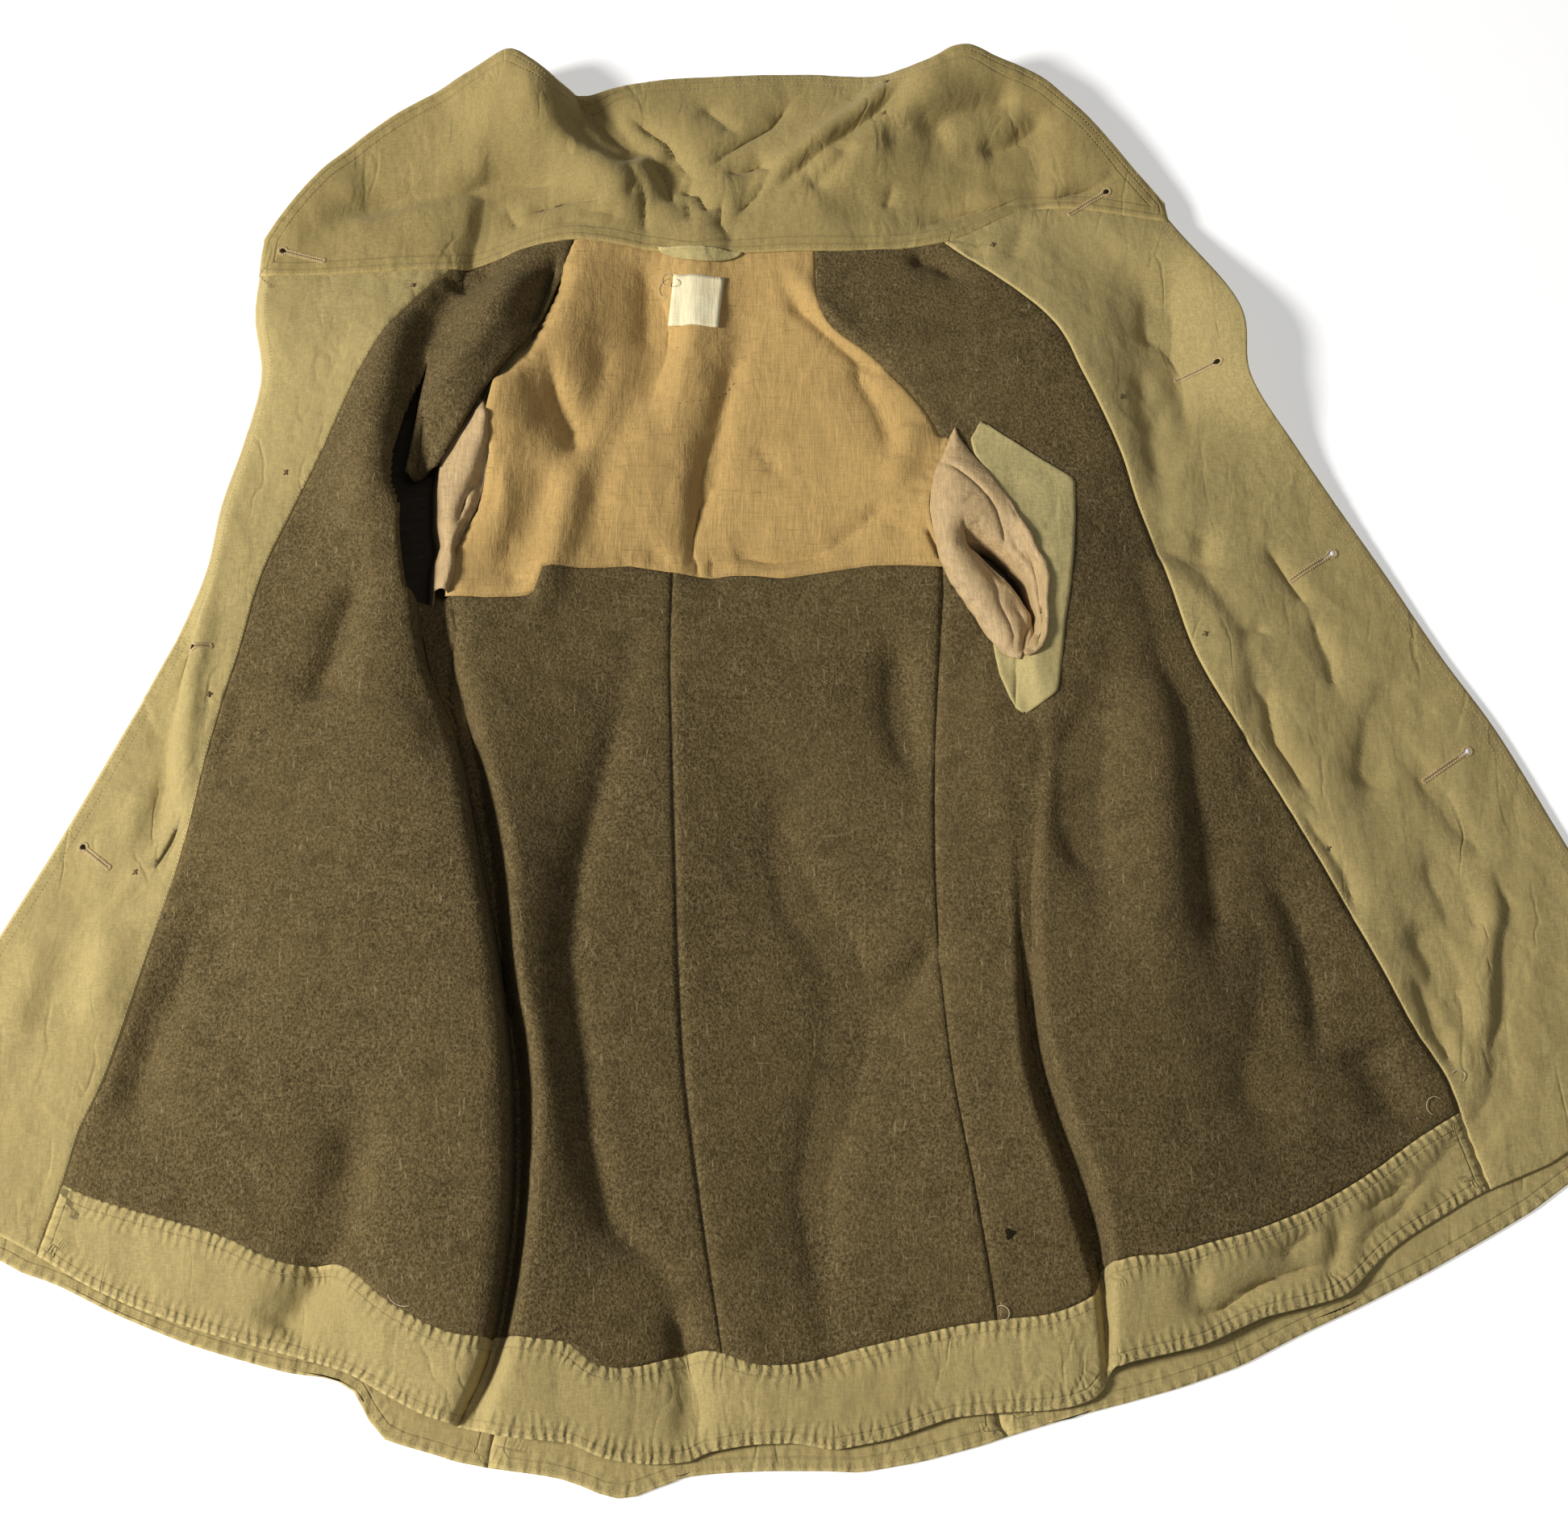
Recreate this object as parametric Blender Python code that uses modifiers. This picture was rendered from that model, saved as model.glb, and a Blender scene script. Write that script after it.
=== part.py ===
"""Mackinaw coat laid open on its outer face, lining side up, collar at +Y."""

import bpy
import bmesh
import numpy as np

MM = 0.001
SHELL = 1.5          # outer cloth wall
LINING = 2.2         # wool or poplin wall seen from above
SKIN = 1.2           # satin and muslin walls
GAP = 0.5            # clear height between stacked layers
SEAM = 0.2           # each piece stops this short of a seam line
SLACK = 12.0         # how far the outer cloth stays below the lining in the folds
SLEEVE_TOP = 12.0    # flattened sleeve, outside height
SLEEVE_WALL = 2.6
SLEEVE_WIDTH = (142.0, 120.0)
BUTTON_DIAMETER = 28.0
BUTTON_HEIGHT = 4.0
COLLAR_WALL = 2.0
LABEL_SIZE = (34.0, 39.0)

# the lines a maker would chalk on the cloth, left to right
LINES = ("edge_l", "fold_l", "facing_l", "valley_l", "ridge_l", "trough_l", "centre",
         "trough_r", "side_r", "mouth_l", "mouth_r", "facing_r", "mid_r", "edge_r")
# how many strips the mesh has between one line and the next
STRIPS = (1, 2, 3, 2, 2, 2, 2, 3, 1, 2, 5, 2, 2)
SECTION_STEPS = 2

# x in mm of every named line where it crosses each section, neck to hem
ACROSS = {
    "neck":        (-347, -339, -218, -200, -138,  -83,  -58,  -29,   20,   27,   63,  104,  171,  256),
    "shoulder":    (-348, -338, -249, -226, -160,  -79,  -60,  -28,   26,   33,   99,  171,  241,  297),
    "chest":       (-341, -331, -274, -236, -184,  -83,  -64,  -32,   67,   72,  132,  194,  251,  301),
    "arm_top":     (-349, -339, -296, -243, -215,  -97,  -67,  -41,  100,  107,  116,  215,  264,  328),
    "arm_mid":     (-360, -350, -311, -242, -213, -113,  -69,  -47,   87,   93,  140,  225,  288,  353),
    "yoke":        (-367, -357, -329, -236, -207, -106,  -70,  -42,  100,  105,  164,  242,  310,  381),
    "waist":       (-387, -368, -340, -230, -197,  -96,  -71,  -14,   98,  140,  157,  257,  337,  413),
    "hip":         (-410, -371, -352, -213, -182, -106,  -69,   -1,   94,  131,  167,  283,  364,  444),
    "seat":        (-444, -371, -363, -197, -162, -122,  -66,    0,   92,  135,  159,  320,  403,  478),
    "thigh":       (-482, -429, -381, -181, -153, -129,  -63,   35,   94,  135,  155,  355,  435,  513),
    "low":         (-516, -458, -400, -172, -140, -121,  -58,   35,  100,  138,  163,  373,  449,  530),
    "lower":       (-532, -473, -412, -170, -140, -100,  -47,   19,  112,  159,  185,  390,  462,  538),
    "facing_top":  (-544, -486, -420, -177, -149,  -60,  -35,   25,  122,  174,  191,  398,  473,  543),
    "facing_foot": (-547, -492, -432, -192, -164,  -53,  -30,   28,  122,  177,  191,  412,  482,  546),
    "hem":         (-549, -494, -437, -197, -167,  -62,  -45,   26,  127,  167,  193,  419,  487,  548),
}

# y in mm of the same crossings, plus towards the collar
ALONG = {
    "neck":        ( 347,  343,  350,  356,  369,  363,  358,  362,  362,  362,  363,  368,  395,  384),
    "shoulder":    ( 314,  308,  314,  320,  308,  309,  303,  305,  311,  310,  312,  310,  325,  313),
    "chest":       ( 270,  264,  268,  268,  262,  267,  262,  264,  271,  270,  266,  264,  273,  260),
    "arm_top":     ( 221,  215,  211,  199,  196,  216,  215,  220,  220,  219,  214,  212,  223,  219),
    "arm_mid":     ( 177,  172,  171,  155,  156,  173,  170,  176,  174,  173,  172,  174,  180,  178),
    "yoke":        ( 128,  123,  122,  109,   98,  129,  126,  126,  128,  126,  118,  122,  130,  131),
    "waist":       (  73,   68,   68,   60,   59,   76,   71,   71,   79,   69,   65,   70,   75,   73),
    "hip":         (  23,   19,   17,   12,   12,   20,   15,   19,   16,   17,   14,   17,   22,   21),
    "seat":        ( -50,  -53,  -54,  -62,  -61,  -55,  -60,  -57,  -58,  -58,  -60,  -55,  -49,  -50),
    "thigh":       (-126, -127, -128, -134, -135, -127, -130, -123, -129, -129, -132, -127, -120, -122),
    "low":         (-198, -198, -197, -204, -205, -198, -201, -192, -197, -197, -197, -166, -156, -159),
    "lower":       (-230, -231, -228, -281, -281, -282, -281, -265, -268, -270, -263, -195, -184, -178),
    "facing_top":  (-256, -259, -261, -348, -352, -359, -360, -360, -340, -329, -309, -218, -204, -189),
    "facing_foot": (-263, -281, -298, -399, -403, -409, -406, -411, -391, -384, -365, -265, -229, -196),
    "hem":         (-267, -288, -313, -414, -421, -427, -424, -422, -403, -393, -385, -285, -243, -199),
}

# height in mm of the lining side there, over the shell lying flat
HEIGHT = {
    "neck":        (   5,   12,   12,    6,   14,    9,   12,    9,   12,   12,   12,   14,   14,   12),
    "shoulder":    (   4,   15,   14,    6,   18,    5,   13,    6,   14,   15,   16,   18,    8,   26),
    "chest":       (   4,   15,   14,    8,   26,    6,   13,    7,   14,   15,   18,   20,    9,   28),
    "arm_top":     (   4,   15,   15,   18,   24,    6,   13,    7,   16,   17,   18,   18,   10,   12),
    "arm_mid":     (   4,   15,   16,   32,   30,    7,   13,    7,   16,   18,   24,   16,    9,    6),
    "yoke":        (   4,   15,   16,   34,   34,    8,   13,    9,   14,   16,   26,   16,    8,    3),
    "waist":       (   2,   14,   16,   34,   36,    6,   13,   10,   12,   18,   22,   15,    7,    2),
    "hip":         (   2,   12,   16,   34,   38,    5,   13,    8,   11,   15,   22,   14,    6,    2),
    "seat":        (   2,   12,   16,   34,   38,    5,   13,    6,   12,   16,   24,   13,    5,    2),
    "thigh":       (   2,    5,   14,   34,   38,    8,   13,    5,   13,   18,   28,   12,    4,    2),
    "low":         (   2,    4,   11,   34,   36,    8,   13,    5,   14,   20,   30,   10,    4,    2),
    "lower":       (   2,    3,    8,   30,   32,    7,   13,    7,   13,   18,   28,    8,    3,    2),
    "facing_top":  (   2,    3,    6,   22,   24,    7,   11,    8,   10,   12,   22,    6,    3,    2),
    "facing_foot": (   2,    2,    3,   10,   11,    4,    5,    4,    4,    4,    8,    3,    2,    2),
    "hem":         (   2,    2,    2,    6,    6,    2,    2,    2,    2,    2,    3,    2,    2,    2),
}

# how far the floor drops between valley_l and ridge_l, and between mouth_l and mouth_r, in mm
VALLEY_DROP = {
    "yoke":        (20, 0),
    "waist":       (26, 2),
    "hip":         (29, 4),
    "seat":        (30, 8),
    "thigh":       (30, 14),
    "low":         (29, 18),
    "lower":       (26, 17),
    "facing_top":  (17, 11),
    "facing_foot": (4, 2),
}

# folds: name, start x, start y, end x, end y, height (minus is a trough), half width, all mm
FOLDS = (
    ("left_fall",  -265, 124, -294,   32,  -6, 14),
    ("left_long",  -350, -93, -386, -232,  -5, 18),
    ("left_low",   -247, -222, -266, -303, -7, 16),
    ("right_t5",    190,  37,  191,  -82,  -6, 16),
    ("right_t6",    251,  49,  269,  -39,  -5, 14),
    ("right_t7",    302, -113, 281, -225,  -5, 18),
    ("back_t3",      70,  83,   82,  -10,  -5, 14),
    ("back_t4",      94, -113,  59, -153,  -5, 14),
    ("pinch",       263, 361,  264,  231,   8, 12),
)

# collar, one row a station: seam x, y, z then edge x, y, z, then rise of the roll between
COLLAR = (
    (-345, 343, 10, -344, 368, 12, 1),
    (-305, 346, 12, -316, 416, 14, 2),
    (-252, 350, 13, -249, 474, 18, 3),
    (-219, 351, 12, -196, 499, 30, 0),
    (-190, 355, 12, -171, 494, 36, -4),
    (-166, 361, 14, -145, 478, 20, -3),
    (-138, 369, 14, -107, 492,  8, 2),
    ( -98, 363, 12,  -67, 499,  6, 5),
    ( -58, 358, 12,  -21, 501,  6, 6),
    ( -17, 360, 12,   13, 502,  6, 6),
    (  22, 362, 12,   44, 499,  7, 8),
    (  63, 362, 12,   74, 496, 12, 8),
    (  84, 365, 12,   97, 497, 26, 2),
    ( 104, 368, 14,  114, 505, 34, -4),
    ( 130, 381, 14,  137, 501, 36, -5),
    ( 171, 394, 16,  170, 490, 28, -3),
    ( 200, 400, 16,  203, 462, 20, 2),
    ( 227, 394, 14,  236, 418, 16, 1),
    ( 250, 386, 12,  254, 396, 12, 0),
)
COLLAR_STEPS = 5

# sleeves lie flat under the fronts; centre line from armhole to cuff, mm
SLEEVE_LEFT = ((-268, 88), (-271, 45), (-272, -1), (-273, -79), (-276, -155), (-278, -225))
SLEEVE_RIGHT = ((203, 58), (202, 28), (201, -1), (206, -69), (226, -135), (243, -215))

BUTTONS_LEFT = ((-252, 335), (-321, 201), (-360, 49), (-396, -70))
BUTTONS_RIGHT = ((141, 360), (222, 258), (268, 90), (335, -53))

COLOURS = {
    "olive_wool":    (0.125, 0.100, 0.052),
    "khaki_poplin":  (0.400, 0.310, 0.150),
    "tan_muslin":    (0.420, 0.290, 0.125),
    "pinkish_satin": (0.380, 0.230, 0.120),
    "cream_label":   (0.640, 0.510, 0.300),
    "brown_button":  (0.060, 0.035, 0.018),
}
ROUGHNESS = {
    "olive_wool": 0.95,
    "khaki_poplin": 0.85,
    "tan_muslin": 0.85,
    "pinkish_satin": 0.5,
    "cream_label": 0.8,
    "brown_button": 0.35,
}


def clear_scene():
    for thing in list(bpy.data.objects):
        bpy.data.objects.remove(thing, do_unlink=True)


def make_materials():
    made = {}
    for name, colour in COLOURS.items():
        material = bpy.data.materials.new(name)
        material.use_nodes = True
        shader = material.node_tree.nodes["Principled BSDF"]
        shader.inputs["Base Color"].default_value = (*colour, 1.0)
        shader.inputs["Roughness"].default_value = ROUGHNESS[name]
        made[name] = material
    return made


def column(line, share=0.0):
    """Mesh column of a named line, or part of the way to the next one."""
    k = LINES.index(line)
    first = sum(STRIPS[:k])
    if share:
        return first + share * STRIPS[k]
    return first


def row(section, share=0.0):
    names = list(ACROSS)
    first = SECTION_STEPS * names.index(section)
    return first + SECTION_STEPS * share if share else first


def along_lines(table):
    """Runs a smooth curve down every line, SECTION_STEPS rows to a section."""
    knots = np.array(list(table.values()), dtype=float)
    last = len(knots) - 1
    rows = []
    for step in range(last * SECTION_STEPS + 1):
        k = min(step // SECTION_STEPS, last - 1)
        t = step / SECTION_STEPS - k
        before = knots[k - 1] if k > 0 else 2 * knots[0] - knots[1]
        after = knots[k + 2] if k + 2 <= last else 2 * knots[last] - knots[last - 1]
        p, q = knots[k], knots[k + 1]
        rows.append(0.5 * (2 * p + (q - before) * t + (2 * before - 5 * p + 4 * q - after) * t**2
                           + (3 * p - before - 3 * q + after) * t**3))
    return np.array(rows)


def between_lines(rows, eased):
    """Fills the strips between the lines, straight or with rounded crests."""
    columns = [rows[:, 0]]
    for k, strips in enumerate(STRIPS):
        for s in range(1, strips + 1):
            t = s / strips
            if eased:
                t = t * t * (3 - 2 * t)
            columns.append(rows[:, k] * (1 - t) + rows[:, k + 1] * t)
    return np.array(columns).T


def near_line(x, y, x0, y0, x1, y1):
    dx, dy = x1 - x0, y1 - y0
    t = np.clip(((x - x0) * dx + (y - y0) * dy) / (dx * dx + dy * dy), 0, 1)
    return np.hypot(x - x0 - t * dx, y - y0 - t * dy)


def valley_floor(height):
    names = list(ACROSS)
    for k, section in enumerate(names):
        for side, line in enumerate(("valley_l", "mouth_l")):
            mid = column(line) + 1
            drop = VALLEY_DROP.get(section, (0, 0))[side]
            height[k * SECTION_STEPS, mid] -= drop
            if k + 1 < len(names):
                onward = VALLEY_DROP.get(names[k + 1], (0, 0))[side]
                height[k * SECTION_STEPS + 1, mid] -= (drop + onward) / 2


def lifted(x, y, points):
    """Height each mesh corner needs so that its cells clear the points (x, y, z) in them."""
    need = np.zeros(x.shape)
    px, py = points[:, 0], points[:, 1]
    for i in range(x.shape[0] - 1):
        for j in range(x.shape[1] - 1):
            ring = ((i, j), (i, j + 1), (i + 1, j + 1), (i + 1, j))
            inside = np.ones(len(points), dtype=bool)
            for a, b in zip(ring, ring[1:] + ring[:1]):
                side = (x[b] - x[a]) * (py - y[a]) - (y[b] - y[a]) * (px - x[a])
                inside &= side <= 0
            if inside.any():
                top = points[inside, 2].max() + GAP
                for corner in ring:
                    need[corner] = max(need[corner], top)
    return need


def sleeve_rise(a):
    """Outside height of the flattened sleeve, a running from -1 to 1 across it."""
    return SLEEVE_TOP * (1 - 0.65 * np.minimum(np.abs(a), 1) ** 4)


def sleeve_samples(centre_line):
    spine = np.array(centre_line, dtype=float)
    points = []
    for k in range(len(spine) - 1):
        for t in np.linspace(0, 1, 12):
            middle = spine[k] * (1 - t) + spine[k + 1] * t
            share = (k + t) / (len(spine) - 1)
            half = (SLEEVE_WIDTH[0] * (1 - share) + SLEEVE_WIDTH[1] * share) / 2
            for a in np.linspace(-1, 1, 61):
                points.append((middle[0] + a * (half + 2), middle[1], sleeve_rise(abs(a) - 0.03)))
                if k == 0 and t == 0:
                    points.append((middle[0] + a * half, middle[1] + 2, sleeve_rise(a)))
                if k == len(spine) - 2 and t == 1:
                    points.append((middle[0] + a * half, middle[1] - 2, sleeve_rise(a)))
    return np.array(points)


def button_samples(centres):
    points = []
    for cx, cy in centres:
        for r in (0, 8, 16):
            for a in np.linspace(0, 2 * np.pi, 24):
                points.append((cx + r * np.cos(a), cy + r * np.sin(a), BUTTON_HEIGHT))
    return np.array(points)


def lay_out():
    """Works out the shared mesh: x, y, underside of the lining and of the shell."""
    x = between_lines(along_lines(ACROSS), False)
    y = between_lines(along_lines(ALONG), False)
    lining = between_lines(along_lines(HEIGHT), True)
    valley_floor(lining)
    for _, x0, y0, x1, y1, height, width in FOLDS:
        lining += height * np.exp(-(near_line(x, y, x0, y0, x1, y1) / width) ** 2)
    lining = np.maximum(lining, SHELL + GAP)
    slack = np.full(x.shape, SLACK)
    slack[:, 0] = 0
    slack[:, -1] = 0
    slack[:, 1] = 6
    slack[:, -2] = 6
    shell = np.maximum(lining - SHELL - GAP - slack, 0)
    hidden = np.vstack([sleeve_samples(SLEEVE_LEFT), sleeve_samples(SLEEVE_RIGHT),
                        button_samples(BUTTONS_LEFT + BUTTONS_RIGHT)])
    shell = np.maximum(shell, lifted(x, y, hidden))
    lining = np.maximum(lining, shell + SHELL + GAP)
    return x, y, lining, shell


def add_object(name, points, faces, material, collection, smooth=True):
    mesh = bpy.data.meshes.new(name)
    mesh.from_pydata([(p[0] * MM, p[1] * MM, p[2] * MM) for p in points], [], faces)
    work = bmesh.new()
    work.from_mesh(mesh)
    bmesh.ops.recalc_face_normals(work, faces=work.faces)
    work.to_mesh(mesh)
    work.free()
    mesh.materials.append(material)
    for face in mesh.polygons:
        face.use_smooth = smooth
    made = bpy.data.objects.new(name, mesh)
    collection.objects.link(made)
    return made


def wall(name, spots, cells, low, thick, material, collection):
    """Closed wall on a set of triangles: spots are (x, y), low the underside heights."""
    count = len(spots)
    points = [(p[0], p[1], z) for p, z in zip(spots, low)]
    points += [(p[0], p[1], z + thick) for p, z in zip(spots, low)]
    faces = []
    edges = {}
    for a, b, c in cells:
        faces.append((a, c, b))
        faces.append((a + count, b + count, c + count))
        for e in ((a, b), (b, c), (c, a)):
            edges[e] = True
    for a, b in edges:
        if (b, a) not in edges:
            faces.append((a, b, b + count, a + count))
    return add_object(name, points, faces, material, collection)


def block(first, last, left, right):
    """All the cells between two sections and two lines."""
    return {(i, j) for i in range(row(first), row(last)) for j in range(column(left), column(right))}


def panel(name, cells, x, y, low, thick, material, collection):
    """Cuts one piece out of the shared mesh, drawn in from its seams."""
    index = {}
    triangles = []
    for i, j in sorted(cells):
        ring = ((i, j), (i + 1, j), (i + 1, j + 1), (i, j + 1))
        a, b, c, d = (index.setdefault(corner, len(index)) for corner in ring)
        triangles += [(a, b, c), (a, c, d)]
    spots = np.array([(x[corner], y[corner]) for corner in index])
    heights = [low[corner] for corner in index]
    edges = {(t[k], t[(k + 1) % 3]) for t in triangles for k in range(3)}
    inward = {}
    for a, b in sorted(e for e in edges if (e[1], e[0]) not in edges):
        run = spots[b] - spots[a]
        normal = np.array([-run[1], run[0]]) / np.hypot(*run)
        inward.setdefault(a, []).append(normal)
        inward.setdefault(b, []).append(normal)
    drawn = spots.copy()
    for corner, normals in inward.items():
        first, second = normals[0], normals[-1]
        drawn[corner] += (first + second) / max(1 + first @ second, 0.5) * SEAM
    return wall(name, drawn, triangles, heights, thick, material, collection)


def surface_at(x, y, z, u, v):
    """Point of the shared mesh at row v and column u."""
    i, j = min(int(v), x.shape[0] - 2), min(int(u), x.shape[1] - 2)
    s, t = u - j, v - i
    out = []
    for grid in (x, y, z):
        a, b, c, d = grid[i, j], grid[i + 1, j], grid[i + 1, j + 1], grid[i, j + 1]
        if t >= s:
            out.append(a + (b - a) * t + (c - b) * s)
        else:
            out.append(a + (d - a) * s + (c - d) * t)
    return out


def height_at(x, y, z, px, py):
    """Height of the shared mesh over a point, on the triangle it falls in."""
    for i in range(x.shape[0] - 1):
        for j in range(x.shape[1] - 1):
            corners = ((i, j), (i + 1, j), (i + 1, j + 1), (i, j + 1))
            for tri in (corners[:3], (corners[0], corners[2], corners[3])):
                a, b, c = ((x[k], y[k]) for k in tri)
                area = (b[0] - a[0]) * (c[1] - a[1]) - (c[0] - a[0]) * (b[1] - a[1])
                s = ((px - a[0]) * (c[1] - a[1]) - (c[0] - a[0]) * (py - a[1])) / area
                t = ((b[0] - a[0]) * (py - a[1]) - (px - a[0]) * (b[1] - a[1])) / area
                if s >= -1e-9 and t >= -1e-9 and s + t <= 1 + 1e-9:
                    return z[tri[0]] + (z[tri[1]] - z[tri[0]]) * s + (z[tri[2]] - z[tri[0]]) * t
    raise ValueError("point off the coat")


def sheet(name, spots, low, thick, material, collection):
    """Closed wall on a rectangular net of spots, rows by columns."""
    rows, columns = spots.shape[:2]
    flat = spots.reshape(-1, 2)
    triangles = []
    for i in range(rows - 1):
        for j in range(columns - 1):
            a, b = i * columns + j, (i + 1) * columns + j
            triangles += [(a, b, b + 1), (a, b + 1, a + 1)]
    return wall(name, flat, triangles, np.asarray(low).reshape(-1), thick, material, collection)


def add_body(x, y, lining, shell, paint, collection):
    wool, poplin = paint["olive_wool"], paint["khaki_poplin"]
    pit = block("arm_top", "yoke", "valley_l", "ridge_l")
    mouth = block("arm_top", "waist", "mouth_l", "mouth_r")
    lip = block("arm_top", "yoke", "side_r", "mouth_l")
    panel("shell_front_left", block("neck", "hem", "edge_l", "ridge_l") - pit,
          x, y, shell, SHELL, poplin, collection)
    panel("shell_back", block("neck", "hem", "ridge_l", "side_r"), x, y, shell, SHELL, poplin, collection)
    panel("shell_front_right", block("neck", "hem", "side_r", "edge_r") - mouth,
          x, y, shell, SHELL, poplin, collection)
    panel("facing_left", block("neck", "facing_foot", "edge_l", "facing_l"),
          x, y, lining, LINING, poplin, collection)
    panel("wool_front_left", block("neck", "facing_top", "facing_l", "ridge_l") - pit,
          x, y, lining, LINING, wool, collection)
    panel("yoke_lining", block("neck", "yoke", "ridge_l", "side_r") | lip,
          x, y, lining, LINING, paint["tan_muslin"], collection)
    panel("wool_back_left", block("yoke", "facing_top", "ridge_l", "centre"),
          x, y, lining, LINING, wool, collection)
    panel("wool_back_right", block("yoke", "facing_top", "centre", "side_r"),
          x, y, lining, LINING, wool, collection)
    panel("wool_front_right", block("neck", "facing_top", "side_r", "facing_r") - mouth - lip,
          x, y, lining, LINING, wool, collection)
    panel("facing_right", block("neck", "facing_foot", "facing_r", "edge_r"),
          x, y, lining, LINING, poplin, collection)
    panel("hem_facing", block("facing_top", "facing_foot", "facing_l", "facing_r"),
          x, y, lining, LINING, poplin, collection)


def add_mouth_lining(x, y, lining, name, first, last, left, right, low_side, material, collection):
    """Satin seen in an armhole: it leaves the seam and drops into the sleeve."""
    rows = range(row(first), row(last) + 1)
    columns = range(column(left), column(right) + 1)
    spots = np.array([[(x[i, j], y[i, j]) for j in columns] for i in rows])
    heights = np.zeros(spots.shape[:2])
    for a, i in enumerate(rows):
        for b in range(spots.shape[1]):
            away = b / (spots.shape[1] - 1)
            if low_side == "left":
                away = 1 - away
            end = min(a, len(rows) - 1 - a) / (len(rows) - 1)
            rim = lining[i, column(left)] if low_side == "right" else lining[i, column(right)]
            heights[a, b] = rim * (1 - away) + 4.0 * away - 6.0 * end
    heights = np.maximum(heights, 3.6)
    middle = spots.mean(axis=(0, 1))
    pull = middle - spots
    spots = spots + pull / np.linalg.norm(pull, axis=2, keepdims=True) * SEAM * 4
    sheet(name, spots, heights, SKIN, material, collection)


def add_sleeve(name, centre_line, material, collection):
    """Flattened sleeve: an open tube with its underside flat on the table."""
    spine = np.array(centre_line, dtype=float)
    sides = 6
    points = []
    for k, (cx, cy) in enumerate(spine):
        share = k / (len(spine) - 1)
        half = (SLEEVE_WIDTH[0] * (1 - share) + SLEEVE_WIDTH[1] * share) / 2
        for inset in (0.0, SLEEVE_WALL):
            top = SLEEVE_TOP - inset
            w = half - inset
            for s in range(sides + 1):
                a = -1 + 2 * s / sides
                points.append((cx + a * (w - 3), cy, inset))
            for s in range(sides + 1):
                a = 1 - 2 * s / sides
                z = inset + (top - inset) * sleeve_rise(a) / SLEEVE_TOP
                points.append((cx + a * w, cy, z))
    ring = 2 * (sides + 1)
    faces = []
    for k in range(len(spine) - 1):
        a, b = 2 * ring * k, 2 * ring * (k + 1)
        for s in range(ring):
            n = (s + 1) % ring
            faces.append((a + s, a + n, b + n, b + s))
            faces.append((a + ring + s, b + ring + s, b + ring + n, a + ring + n))
    for start in (0, 2 * ring * (len(spine) - 1)):
        for s in range(ring):
            n = (s + 1) % ring
            faces.append((start + s, start + n, start + ring + n, start + ring + s))
    return add_object(name, points, faces, material, collection)


def add_collar(name, x, y, lining, low_by, thick, material, collection):
    """Collar laid out flat from the neck seam, its two points standing up off the table."""
    stations = np.array(COLLAR, dtype=float)
    seam = np.array([x[0], y[0] + 0.5]).T
    edge = np.array([np.interp(x[0], stations[:, 0], stations[:, k]) for k in (3, 4)]).T
    seam_rise = lining[0]
    edge_rise = np.interp(x[0], stations[:, 0], stations[:, 5])
    bulge = np.interp(x[0], stations[:, 0], stations[:, 6])
    step = edge - seam
    length = np.maximum(np.hypot(step[:, 0], step[:, 1]), 6.0)[:, None]
    step = step / np.hypot(step[:, 0], step[:, 1])[:, None]
    spots = np.zeros((COLLAR_STEPS + 1, x.shape[1], 2))
    heights = np.zeros(spots.shape[:2])
    for s in range(COLLAR_STEPS + 1):
        t = s / COLLAR_STEPS
        spots[COLLAR_STEPS - s] = seam + step * length * t
        lift = seam_rise * (1 - t) + edge_rise * t + bulge * np.sin(np.pi * t)
        heights[COLLAR_STEPS - s] = lift - low_by
    sheet(name, spots, np.maximum(heights, 0.0), thick, material, collection)


def add_buttons(x, y, paint, collection):
    for side, centres in (("left", BUTTONS_LEFT), ("right", BUTTONS_RIGHT)):
        for k, (cx, cy) in enumerate(centres):
            bpy.ops.mesh.primitive_cylinder_add(
                vertices=16, radius=BUTTON_DIAMETER / 2 * MM, depth=BUTTON_HEIGHT * MM,
                location=(cx * MM, cy * MM, BUTTON_HEIGHT / 2 * MM))
            made = bpy.context.object
            made.name = f"button_{side}_{k + 1}"
            made.data.name = made.name
            bevel = made.modifiers.new("rim", "BEVEL")
            bevel.width = 0.9 * MM
            bevel.segments = 1
            bevel.limit_method = "ANGLE"
            made.data.materials.append(paint["brown_button"])
            for other in list(made.users_collection):
                other.objects.unlink(made)
            collection.objects.link(made)


def add_trims(x, y, lining, paint, collection):
    top = lining + LINING + GAP
    # pocket patch behind the sleeve mouth
    rows = range(row("arm_top"), row("hip"))
    columns = np.linspace(column("mouth_r") + 0.12, column("mouth_r") + 0.92, 4)
    net = np.array([[surface_at(x, y, top, u, v) for u in columns] for v in rows])
    sheet("pocket_patch", net[:, :, :2], net[:, :, 2], SKIN, paint["khaki_poplin"], collection)
    # bare size label under the collar seam, resting on the centre crest
    net = np.zeros((4, 4, 2))
    for i in range(4):
        for j in range(4):
            net[i, j] = (-76 + LABEL_SIZE[0] * j / 3 + i / 3, 343 - LABEL_SIZE[1] * i / 3 - 2 * j / 3)
    rest = highest(x, y, top, net)
    sheet("size_label", net, np.full((4, 4), rest), 0.6, paint["cream_label"], collection)
    # hanger loop, a tape bowed below the collar seam
    net = np.zeros((2, 9, 2))
    for j in range(9):
        t = j / 8
        for i in range(2):
            net[i, j] = (-82 + 54 * t, 356 - 2.5 * t - 7 * np.sin(np.pi * t) - 5 * i)
    rest = highest(x, y, top, net)
    sheet("hanger_loop", net, np.full((2, 9), rest), SKIN, paint["khaki_poplin"], collection)


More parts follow.
